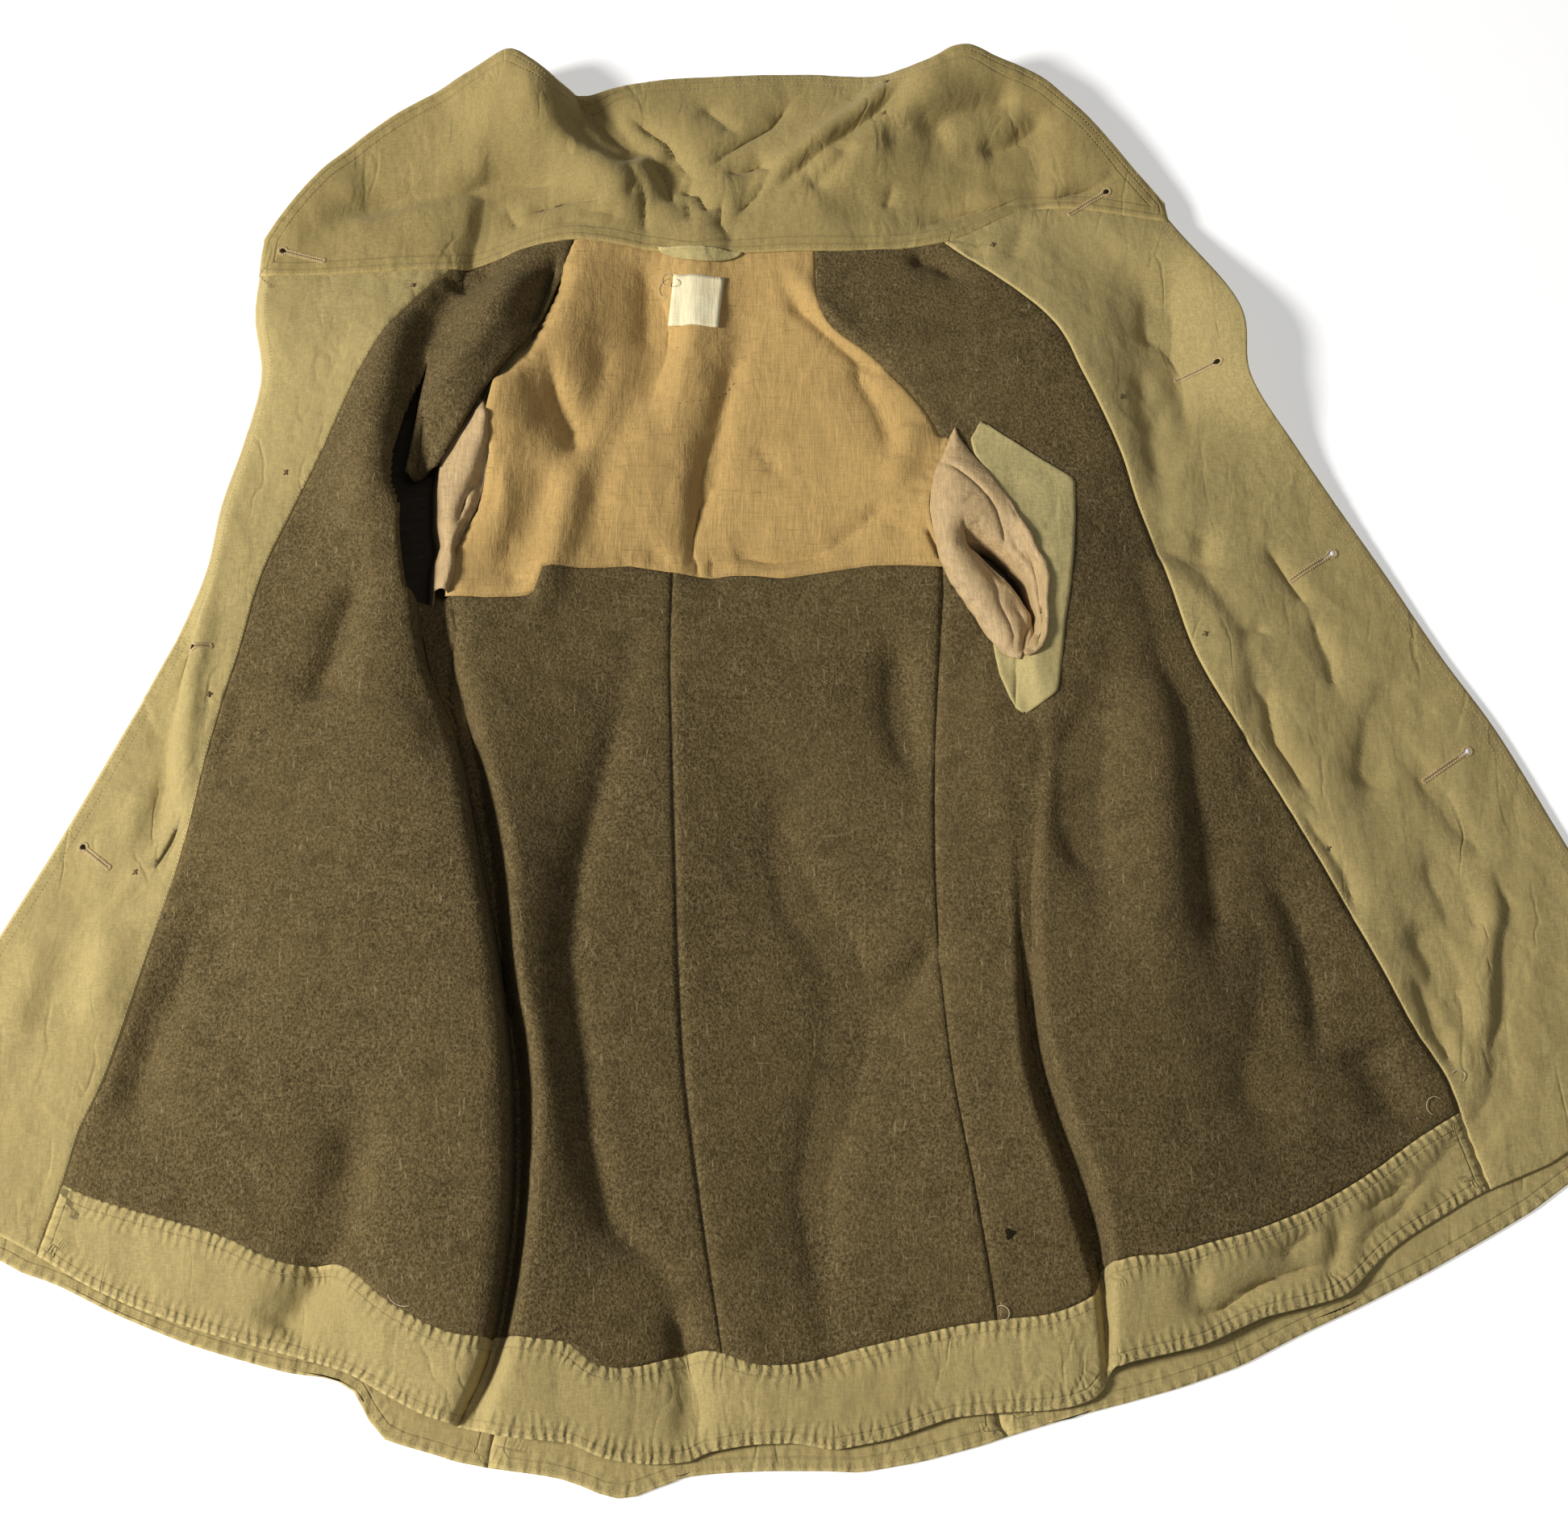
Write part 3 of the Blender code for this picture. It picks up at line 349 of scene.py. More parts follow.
# edges whose waves are followed closely: (x, y) in mm along each
WAVES = {
    "hem": (
        (-550, -266), (-512, -281), (-483, -294), (-454, -304), (-439, -312), (-424, -316),
        (-405, -325), (-389, -333), (-372, -340), (-344, -351), (-317, -359), (-279, -369),
        (-271, -369), (-262, -370), (-241, -377), (-238, -387), (-238, -395), (-235, -400),
        (-227, -405), (-201, -412), (-185, -417), (-163, -421), (-138, -424), (-121, -427),
        (-103, -435), (-93, -438), (-86, -437), (-77, -434), (-68, -429), (-54, -425), (-34, -423),
        (-10, -422), (25, -422), (42, -423), (77, -417), (112, -408), (130, -402), (165, -392),
        (200, -383), (226, -376), (261, -364), (297, -346), (333, -330), (370, -312), (407, -292),
        (437, -275), (458, -260), (502, -233), (549, -198),),
    "facing_foot": (
        (-548, -248), (-498, -269), (-453, -291), (-431, -302), (-404, -318), (-375, -331),
        (-337, -344), (-304, -353), (-274, -361), (-248, -368), (-227, -380), (-206, -391),
        (-183, -399), (-151, -405), (-117, -407), (-107, -415), (-78, -419), (-55, -418), (-42, -412),
        (-19, -408), (6, -407), (28, -411), (60, -405), (95, -393), (126, -390), (152, -389),
        (173, -385), (181, -377), (190, -364), (240, -353), (275, -337), (297, -332), (324, -325),
        (347, -302), (362, -291), (403, -267), (449, -248), (533, -195),),
    "facing_top": (
        (-530, -229), (-457, -248), (-419, -261), (-408, -267), (-379, -276), (-342, -286),
        (-320, -293), (-300, -303), (-287, -308), (-273, -309), (-262, -307), (-254, -308),
        (-243, -314), (-231, -326), (-220, -333), (-202, -343), (-186, -349), (-172, -350),
        (-165, -348), (-148, -350), (-129, -352), (-119, -352), (-114, -360), (-108, -365), (-97, -367),
        (-83, -366), (-69, -362), (-57, -358), (-45, -356), (-33, -358), (-24, -362), (-13, -365),
        (7, -364), (25, -360), (43, -355), (69, -349), (96, -343), (122, -339), (148, -337),
        (166, -332), (177, -325), (183, -311), (190, -307), (203, -304), (219, -304), (246, -296),
        (269, -290), (304, -276), (328, -263), (347, -251), (371, -234), (397, -218), (441, -196),
        (523, -152),),
    "yoke": (
        (-216, 107), (-187, 105), (-161, 107), (-156, 109), (-153, 125), (-143, 127), (-120, 128),
        (-98, 130), (-76, 127), (-47, 124), (-33, 126), (-18, 126), (-1, 124), (26, 128), (55, 132),
        (75, 132), (101, 130),),
}

YOKE_SEAM_LEFT = (
    (-160, 298), (-173, 276), (-187, 252), (-191, 232), (-188, 206), (-191, 183), (-194, 166),
    (-201, 152), (-207, 138), (-211, 127), (-212, 104),)
TONGUE_EDGE = (
    (-160, 298), (-173, 276), (-191, 248), (-207, 220), (-217, 202), (-223, 193),)
MOUTH_LEFT = (
    (108, 221), (103, 207), (97, 195), (94, 181), (93, 168), (95, 154), (98, 137), (104, 120),
    (111, 108), (119, 95), (128, 80), (134, 71), (141, 66), (147, 64),)
MOUTH_SPINE = (
    (110, 225), (109, 198), (111, 175), (114, 155), (117, 145), (124, 137), (132, 128), (140, 120),
    (149, 108), (156, 96), (155, 83), (150, 71), (149, 69),)
MOUTH_RIGHT = (
    (110, 220), (119, 206), (129, 192), (136, 180), (144, 168), (149, 156), (155, 146), (159, 135),
    (164, 126), (166, 116), (164, 99), (164, 88), (163, 78), (160, 70), (155, 66), (149, 65),)
MOUTH_OUTLINE = MOUTH_LEFT + MOUTH_RIGHT[::-1]
PATCH_LEFT = (
    (127, 229), (120, 217), (122, 206), (129, 191), (137, 172), (144, 145), (141, 118), (132, 90),
    (130, 79), (134, 56), (139, 43), (143, 34), (148, 30),)
PATCH_RIGHT = (
    (128, 228), (147, 215), (165, 202), (184, 188), (185, 186), (184, 160), (182, 137), (179, 112),
    (175, 88), (172, 62), (169, 43), (168, 41), (159, 35), (149, 30),)
PATCH_SLIT = (
    (145, 70), (144, 55), (143, 35),)
PIT_LINE = (
    (-223, 299), (-234, 272), (-238, 241), (-235, 215), (-228, 163), (-223, 110), (-220, 88),)
CUFF_SLIT = (
    (-191, 208), (-193, 197), (-195, 188), (-202, 173), (-206, 156),)
CUFF_LEFT = (
    (-196, 243), (-205, 229), (-213, 216), (-219, 201), (-220, 181), (-219, 156), (-216, 141),
    (-219, 129), (-219, 110),)
CUFF_SEAM = (
    (-194, 240), (-189, 226), (-189, 209), (-189, 196), (-193, 184), (-197, 169), (-204, 152),
    (-209, 138), (-207, 123), (-212, 108),)

# creases of the right sleeve's mouth: depth in mm (minus is a ridge), half width, points
MOUTH_FOLDS = (
    (2.6, 1.3, ((99, 201), (108, 195), (118, 185), (127, 175), (134, 163), (138, 150), (140, 136),
     (140, 124))),
    (4.0, 1.8, ((113, 147), (121, 135), (129, 126), (138, 116))),
    (-1.8, 2.2, ((140, 119), (144, 128), (148, 136), (151, 144))),
    (1.8, 1.5, ((142, 129), (146, 136), (149, 141))),
    (1.6, 1.6, ((111, 152), (117, 151), (123, 156), (126, 150), (133, 146))),
    (1.6, 1.6, ((113, 167), (121, 173), (127, 175))),
    (1.8, 2.0, ((127, 123), (133, 111), (135, 98))),
    (2.0, 1.8, ((134, 102), (141, 87), (143, 79), (142, 71))),
    (3.4, 1.6, ((156, 96), (154, 89), (150, 80), (148, 69))),
    (2.2, 1.5, ((157, 87), (158, 80), (159, 74))),
    (1.6, 1.6, ((145, 98), (149, 91), (150, 83))),
    (-1.6, 2.6, ((143, 171), (147, 158), (152, 148), (157, 136))),
    (2.0, 1.4, ((143, 167), (146, 158), (150, 147), (154, 136), (157, 125), (158, 114))),
)


# ---------------------------------------------------------------- settings

class CoatSettings(bpy.types.PropertyGroup):
    wool_wall: bpy.props.FloatProperty(
        name="Wool thickness", description="Wall of the wool lining, mm", default=2.4, min=1.0, max=5.0)
    poplin_wall: bpy.props.FloatProperty(
        name="Poplin thickness", description="Wall of facings and hem, mm", default=1.5, min=0.6, max=4.0)
    shell_wall: bpy.props.FloatProperty(
        name="Outer thickness", description="Wall of the outer cloth, mm", default=1.5, min=0.6, max=4.0)
    stitch_length: bpy.props.FloatProperty(
        name="Stitch length", description="One lockstitch, mm", default=2.6, min=1.5, max=6.0)
    wool_colour: bpy.props.FloatVectorProperty(
        name="Wool", description="Main tone of the melange wool", subtype="COLOR", size=3,
        default=(0.118, 0.084, 0.034), min=0, max=1)
    poplin_colour: bpy.props.FloatVectorProperty(
        name="Poplin", description="Khaki of shell, facings and collar", subtype="COLOR", size=3,
        default=(0.410, 0.321, 0.132), min=0, max=1)
    muslin_colour: bpy.props.FloatVectorProperty(
        name="Yoke muslin", description="Tan of the yoke lining", subtype="COLOR", size=3,
        default=(0.500, 0.325, 0.118), min=0, max=1)
    satin_colour: bpy.props.FloatVectorProperty(
        name="Sleeve satin", description="Pinkish tan of the sleeve linings", subtype="COLOR", size=3,
        default=(0.500, 0.350, 0.175), min=0, max=1)
    label_colour: bpy.props.FloatVectorProperty(
        name="Label", description="Cream of the bare label", subtype="COLOR", size=3,
        default=(0.970, 0.850, 0.560), min=0, max=1)


def settings():
    return bpy.context.scene.coat_settings


# ---------------------------------------------------------------- layout

def first_column(line):
    return sum(STRIPS[:LINES.index(line)])


def first_row(section):
    return list(ACROSS).index(section) * ROWS


def along_lines(table):
    """A smooth curve down every chalk line."""
    knots = np.array(list(table.values()), dtype=float)
    last = len(knots) - 1
    rows = []
    for step in range(last * ROWS + 1):
        k = min(step // ROWS, last - 1)
        t = step / ROWS - k
        before = knots[k - 1] if k > 0 else 2 * knots[0] - knots[1]
        after = knots[k + 2] if k + 2 <= last else 2 * knots[last] - knots[last - 1]
        p, q = knots[k], knots[k + 1]
        rows.append(0.5 * (2 * p + (q - before) * t + (2 * before - 5 * p + 4 * q - after) * t**2
                           + (3 * p - before - 3 * q + after) * t**3))
    return np.array(rows)


def even_slopes(x, y):
    """Slopes at the knots of each row that never overshoot."""
    run = np.diff(x, axis=1)
    rise = np.diff(y, axis=1) / run
    left, right = rise[:, :-1], rise[:, 1:]
    a = 2 * run[:, 1:] + run[:, :-1]
    b = run[:, 1:] + 2 * run[:, :-1]
    with np.errstate(divide="ignore", invalid="ignore"):
        mixed = (a + b) / (a / left + b / right)
    slopes = np.zeros_like(y)
    slopes[:, 1:-1] = np.where(left * right > 0, mixed, 0)
    slopes[:, 0] = rise[:, 0]
    slopes[:, -1] = rise[:, -1]
    return slopes


def hermite(a, b, slope_a, slope_b, run, t):
    """Curve from a to b with the slopes given there, at the share t of the run."""
    return (a * (1 + 2 * t) * (1 - t)**2 + b * t * t * (3 - 2 * t)
            + slope_a * run * t * (1 - t)**2 - slope_b * run * t * t * (1 - t))


def across_lines(x, y):
    """Fills the strips of each row with a curve through its knots."""
    slopes = even_slopes(x, y)
    columns = [y[:, 0]]
    for k, strips in enumerate(STRIPS):
        run = x[:, k + 1] - x[:, k]
        for s in range(1, strips + 1):
            columns.append(hermite(y[:, k], y[:, k + 1], slopes[:, k], slopes[:, k + 1], run, s / strips))
    return np.array(columns).T


def straight_across(x):
    """Fills the strips of each row with even steps between its knots."""
    columns = [x[:, 0]]
    for k, strips in enumerate(STRIPS):
        for s in range(1, strips + 1):
            columns.append(x[:, k] + (x[:, k + 1] - x[:, k]) * s / strips)
    return np.array(columns).T


def eased(t):
    """0 below 0, 1 above 1 and a smooth step between."""
    t = np.clip(t, 0, 1)
    return t * t * (3 - 2 * t)


def near_path(x, y, points):
    """Distance from a path of points, and how far along it the nearest place lies, 0 to 1."""
    best = np.full(x.shape, 1e9)
    share = np.zeros(x.shape)
    path = np.array(points, dtype=float)
    lengths = np.hypot(*np.diff(path, axis=0).T)
    total = lengths.sum()
    done = 0.0
    for (x0, y0), (x1, y1), length in zip(path, path[1:], lengths):
        dx, dy = x1 - x0, y1 - y0
        t = np.clip(((x - x0) * dx + (y - y0) * dy) / (length * length), 0, 1)
        away = np.hypot(x - x0 - t * dx, y - y0 - t * dy)
        closer = away < best
        best = np.where(closer, away, best)
        share = np.where(closer, (done + t * length) / total, share)
        done += length
    return best, share


def smoothed(values, reach):
    """Running mean over the neighbours within reach."""
    count = 2 * reach + 1
    return np.convolve(np.pad(values, reach, mode="edge"), np.ones(count) / count, mode="valid")


def lengths_along(path):
    """Distance along a path to each of its points."""
    return np.concatenate([[0], np.cumsum(np.hypot(*np.diff(path, axis=0).T))])


def places_at(path, at):
    """The points at the given distances along a path."""
    length = lengths_along(path)
    return np.column_stack([np.interp(at, length, path[:, k]) for k in (0, 1)])


def fold_relief(x, y):
    """Height of all listed folds together, each lower towards its ends."""
    relief = np.zeros(x.shape)
    for height, width, points in FOLDS:
        away, share = near_path(x, y, points)
        ends = 0.25 + 0.75 * (eased(share / 0.22) * eased((1 - share) / 0.22))
        width *= FOLD_SPREAD
        if width < CREASE_WIDTH:
            reach = np.exp(-1.2 * away / width) * 0.8 + np.exp(-(away / (2.4 * width)) ** 2) * 0.2
        else:
            reach = np.exp(-(away / width) ** 2) * 0.75 + np.exp(-(away / (2.2 * width)) ** 2) * 0.25
        relief += FOLD_GAIN * height * reach * ends
    return relief


def rumple(x, y, size, seed):
    """Soft unevenness of one cloth, about -1 to 1."""
    flat = [noise.noise(Vector((a / size + seed, b / size - seed, seed * 1.7)))
            for a, b in zip(x.ravel(), y.ravel())]
    return np.array(flat).reshape(x.shape)


def hidden_rise(x, y):
    """Height that the sleeves and buttons underneath push the outer cloth up to."""
    rise = np.zeros(x.shape)
    for spine in SLEEVE_SPINES.values():
        away, share = near_path(x, y, spine)
        half = (SLEEVE_WIDTH[0] * (1 - share) + SLEEVE_WIDTH[1] * share) / 2
        rise = np.maximum(rise, (SLEEVE_TOP + 0.6) * eased((half + 34 - away) / 30))
    for cx, cy in BUTTON_SPOTS:
        rise = np.maximum(rise, 4.8 * eased((40 - np.hypot(x - cx, y - cy)) / 22))
    return rise


def inside(x, y, outline):
    """Marks the places inside a closed outline."""
    odd = np.zeros(x.shape, dtype=bool)
    path = [tuple(p) for p in outline]
    for (x0, y0), (x1, y1) in zip(path, path[1:] + path[:1]):
        if y0 != y1:
            odd ^= ((y0 > y) != (y1 > y)) & (x < (x1 - x0) * (y - y0) / (y1 - y0) + x0)
    return odd


def inside_mouth(x, y, share):
    """Marks the places inside the right armhole's outline, drawn in to a share of its size."""
    outline = np.array(MOUTH_OUTLINE, dtype=float)
    middle = outline.mean(axis=0)
    return inside(x, y, (outline - middle) * share + middle)


def grid_normals(x, y, z):
    """Upward unit normals of the net, row by row."""
    down = np.stack([np.gradient(a, axis=0) for a in (x, y, z)], axis=-1)
    over = np.stack([np.gradient(a, axis=1) for a in (x, y, z)], axis=-1)
    normal = np.cross(down, over)
    return normal / np.maximum(np.linalg.norm(normal, axis=-1, keepdims=True), 1e-9)


LAYOUT = {}


def follow_waves(x, y):
    """Moves the rows of wavy edges onto their traced lines, and the rows near them less and less."""
    for section, path in WAVES.items():
        middle = first_row(section)
        path = np.array(path, dtype=float)
        miss = np.interp(x[middle], path[:, 0], path[:, 1]) - y[middle]
        if section == "yoke":
            miss = miss * ((x[middle] >= path[0, 0] - 2) & (x[middle] <= path[-1, 0] + 8))
        else:
            miss = np.convolve(np.pad(miss, 2, mode="edge"), (0.1, 0.2, 0.4, 0.2, 0.1), mode="valid")
        for row in range(max(middle - ROWS, 0), min(middle + ROWS, len(y) - 1) + 1):
            y[row] += miss * eased(1 - abs(row - middle) / ROWS)


def turn_left_edge(z):
    """Makes the step at the left front's turned edge short, from waist to seat."""
    strips = STRIPS[0]
    t = np.arange(strips + 1) / strips
    middle = (first_row("waist") + first_row("seat")) / 2
    share = eased(1.6 * (1 - np.abs(np.arange(len(z)) - middle) / (2.1 * ROWS)))[:, None]
    step = z[:, :1] + (z[:, strips:strips + 1] - z[:, :1]) * eased((t - 0.74) / 0.22)[None, :]
    z[:, :strips + 1] = z[:, :strips + 1] * (1 - share) + step * share


def sink_valleys(z, drops):
    """Lowers the strips right of the two folds' crests by each valley's own profile."""
    for side, line in enumerate(("valley_l", "mouth_l")):
        start, strips = first_column(line), STRIPS[LINES.index(line)]
        t = np.arange(strips + 1) / strips
        if line == "valley_l":
            profile = eased(t / 0.22) * (1 - eased((t - 0.46) / 0.54))
        else:
            profile = eased((t - 0.05) / 0.45) * eased((0.95 - t) / 0.30)
        z[:, start:start + strips + 1] -= drops[:, side:side + 1] * profile[None, :]


def shell_height(x, y, z, rise):
    """Underside of the outer cloth: it sags below the lining, but lies on what is hidden under it."""
    edge = np.minimum(x - x[:, :1], x[:, -1:] - x)
    shell = np.clip(z - LINING_RISE - SHELL_SLACK * eased(edge / 60), 0, None)
    shell = np.maximum(shell, np.minimum(rise, z - LINING_RISE))
    shell *= ~inside(x, y, MOUTH_OUTLINE)
    shell *= eased((near_path(x, y, PIT_LINE)[0] - 30) / 26)
    return np.maximum(shell, 0)


def lay_out():
    """Works out the shared fine mesh once: x, y, underside of the lining, and of the shell."""
    if LAYOUT:
        return LAYOUT
    kx, ky, kz = along_lines(ACROSS), along_lines(ALONG), along_lines(HEIGHT)
    x, y, z = straight_across(kx), across_lines(kx, ky), across_lines(kx, kz)
    follow_waves(x, y)
    turn_left_edge(z)
    drops = np.maximum(along_lines(VALLEY_DROP), 0)
    sink_valleys(z, drops)
    z += fold_relief(x, y)
    lean = OVERHANG * eased(drops[:, :1] / 30)
    x = x + lean * np.exp(-((x - x[:, [first_column("valley_l")]] - 1.5) / 6) ** 2)
    rise = hidden_rise(x, y)
    z = np.maximum(z, 2.0 + 0.2 * eased(z / 4))
    lift = rise + 2.3
    z = np.where(lift > 2.4, 0.5 * (z + lift + np.sqrt((z - lift) ** 2 + 4.0)), z)
    LAYOUT.update(x=x - MIDDLE[0], y=y - MIDDLE[1], z=z, shell=shell_height(x, y, z, rise))
    for level in ("z", "shell"):
        normal = grid_normals(LAYOUT["x"], LAYOUT["y"], LAYOUT[level])
        normal[(normal[:, :, 2] < 0) & (LAYOUT[level] < 6)] *= -1
        LAYOUT[level + "_normal"] = normal
    LAYOUT["wool"] = 1.3 * rumple(x, y, 60, 3.1) + 0.55 * rumple(x, y, 22, 7.7)
    sharp = 1 - np.abs(rumple(x, y, 24, 5.3)) * 2.2
    LAYOUT["poplin"] = (0.9 * rumple(x, y, 46, 1.9) + 0.5 * rumple(x, y, 15, 9.1)
                        + 0.45 * np.clip(sharp, 0, 1) ** 3)
    return LAYOUT


def no_cells():
    return np.zeros(((len(ACROSS) - 1) * ROWS, sum(STRIPS)), dtype=bool)


def cells(first, last, left, right):
    """Marks the fine cells between two sections and two chalk lines."""
    marks = no_cells()
    marks[first_row(first):first_row(last), first_column(left):first_column(right)] = True
    return marks


# ---------------------------------------------------------------- mesh making

def rim_of(quads):
    """Edges that only one cell has, in the direction that keeps the cloth on their left."""
    directed = np.vstack([quads[:, [k, (k + 1) % 4]] for k in range(4)])
    have = {(a, b) for a, b in directed}
    return [(a, b) for a, b in have if (b, a) not in have]


def rim_distance(spots, rim):
    """For every spot, mm to the nearest rim edge and mm along the rim to it."""
    onward = {a: b for a, b in rim}
    left = set(onward)
    away = np.full(len(spots), 1e9)
    run = np.zeros(len(spots))
    while left:
        start = min(left)
        loop = [start]
        left.discard(start)
        while onward[loop[-1]] != start and onward[loop[-1]] in left:
            loop.append(onward[loop[-1]])
            left.discard(loop[-1])
        path = spots[loop + [start]]
        length = lengths_along(path)
        for chunk in range(0, len(spots), 2000):
            part = spots[chunk:chunk + 2000]
            gap = np.hypot(part[:, 0, None] - path[None, :-1, 0], part[:, 1, None] - path[None, :-1, 1])
            nearest = gap.argmin(axis=1)
            for k in range(len(part)):
                j = nearest[k]
                if gap[k, j] >= away[chunk + k]:
                    continue
                best, where = 1e9, 0.0
                for i in (j - 1, j):
                    p, q = path[i % (len(path) - 1)], path[i % (len(path) - 1) + 1]
                    d = q - p
                    t = min(max(((part[k] - p) @ d) / max(d @ d, 1e-9), 0), 1)
                    dist = math.hypot(*(part[k] - p - t * d))
                    if dist < best:
                        base = length[i % (len(path) - 1)]
                        best, where = dist, base + t * math.sqrt(d @ d)
                away[chunk + k] = best
                run[chunk + k] = where
    return away, run


def add_mesh(name, points, faces, smooth=False):
    """New object in the scene, its points in metres."""
    mesh = bpy.data.meshes.new(name)
    mesh.from_pydata(points, [], faces)
    made = bpy.data.objects.new(name, mesh)
    bpy.context.scene.collection.objects.link(made)
    if smooth:
        mesh.polygons.foreach_set("use_smooth", np.ones(len(mesh.polygons), dtype=bool))
    return made


def add_cloth(name, base, quads, wall, normals, uvs):
    """Closed wall of cloth on a net of quads: its underside in mm, its wall along the normals."""
    count = len(base)
    rim = rim_of(quads)
    on_rim = sorted({a for a, _ in rim})
    under, over = np.zeros(count), np.full(count, float(wall))
    under[on_rim] += 0.22 * wall
    over[on_rim] -= 0.30 * wall
    low = base + normals * under[:, None]
    low[:, 2] = np.maximum(low[:, 2], 0.02)
    points = np.vstack([base + normals * over[:, None], low]) * MM
    faces = [tuple(q) for q in quads] + [tuple(q[::-1] + count) for q in quads]
    faces += [(b, a, a + count, b + count) for a, b in rim]
    made = add_mesh(name, points.tolist(), faces, smooth=True)
    mesh = made.data
    layer = mesh.uv_layers.new(name="rim")
    index = np.zeros(len(mesh.loops), dtype=np.int32)
    mesh.loops.foreach_get("vertex_index", index)
    layer.data.foreach_set("uv", np.vstack([uvs, uvs])[index].astype(np.float32).ravel())
    mesh.update()
    return made


def cut_cloth(name, marks, wall, uneven, lift=0.0, dip=0.9, pucker=0.35, wave=9.0, step=1, level="z",
              bend=None, fade=0.0):
    """Cuts a piece from the layout and gives it its seam dip, puckers and unevenness."""
    lay = lay_out()
    rows, columns = np.nonzero(marks)
    keep = (rows % step == 0) & (columns % step == 0)
    rows, columns = rows[keep], columns[keep]
    height, width = lay["x"].shape
    down = np.minimum(rows + step, height - 1)
    over = np.minimum(columns + step, width - 1)
    corners = np.column_stack([rows * width + columns, down * width + columns,
                               down * width + over, rows * width + over])
    used, flat = np.unique(corners, return_inverse=True)
    quads = flat.reshape(corners.shape)
    base = np.column_stack([lay[key].ravel()[used] for key in ("x", "y", level)])
    normals = lay[level + "_normal"].reshape(-1, 3)[used]
    if bend is not None:
        base = bend(base, used)
    away, run = rim_distance(base[:, :2], rim_of(quads))
    out = np.zeros(len(used))
    if uneven:
        out = out + lay[uneven].ravel()[used] * eased(away / 14)
    phase = 1.7 * np.sin(run / 37.0) + 1.1 * np.sin(run / 91.0)
    swing = 0.5 + 0.5 * np.sin(run / 53.0 + 1.3)
    fade = 1 - fade * eased((40 - base[:, 1]) / 160)
    out = out + lift - dip * fade * np.exp(-(away / 2.6) ** 2)
    out = out + pucker * swing * np.sin(run * 2 * math.pi / wave + phase) * np.exp(-((away - 5) / 7) ** 2)
    base = base + normals * out[:, None]
    base[:, 2] = np.maximum(base[:, 2], 0.05)
    return add_cloth(name, base, quads, wall, normals, np.column_stack([run * MM, away * MM]))


def add_net(name, net, wall):
    """Closed wall on a rectangular net of (x, y, z) points in mm, wall given upwards."""
    rows, columns = net.shape[:2]
    grid = np.arange(rows * columns).reshape(rows, columns)
    quads = np.column_stack([grid[:-1, :-1].ravel(), grid[1:, :-1].ravel(),
                             grid[1:, 1:].ravel(), grid[:-1, 1:].ravel()])
    flat = net.reshape(-1, 3)
    steps_down = np.linalg.norm(np.diff(net, axis=0), axis=2)
    steps_over = np.linalg.norm(np.diff(net, axis=1), axis=2)
    v = np.vstack([np.zeros((1, columns)), np.cumsum(steps_down, axis=0)])
    u = np.hstack([np.zeros((rows, 1)), np.cumsum(steps_over, axis=1)])
    uvs = np.column_stack([u.ravel(), v.ravel()]) * MM
    normals = grid_normals(net[:, :, 0], net[:, :, 1], net[:, :, 2]).reshape(-1, 3)
    if normals[:, 2].mean() < 0:
        quads, normals = quads[:, ::-1], -normals
    return add_cloth(name, flat, quads, wall, normals, uvs)


def finish(made, material, slot, *nodes):
    made.data.materials.append(material)
    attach(made, "root")
    if nodes:
        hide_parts(*nodes)
    return made


UPPER = []          # finished pieces whose top side carries stitches and trims
CARRIER = {}


def surface():
    """One search tree over everything that trims may lie on."""
    if len(UPPER) != CARRIER.get("count"):
        points, faces = [], []
        for name in UPPER:
            mesh = bpy.data.objects[name].data
            start = len(points)
            points += [v.co.copy() for v in mesh.vertices]
            faces += [tuple(start + i for i in p.vertices) for p in mesh.polygons]
        CARRIER["tree"] = BVHTree.FromPolygons(points, faces)
        CARRIER["count"] = len(UPPER)
    return CARRIER["tree"]


def rest_on(x, y):
    """Highest cloth point over (x, y), mm, and the way it faces."""
    hit = surface().ray_cast(Vector((x * MM, y * MM, 0.3)), Vector((0, 0, -1)))
    if hit[0] is None:
        return None, Vector((0, 0, 1))
    return hit[0].z / MM, hit[1]


# ---------------------------------------------------------------- materials

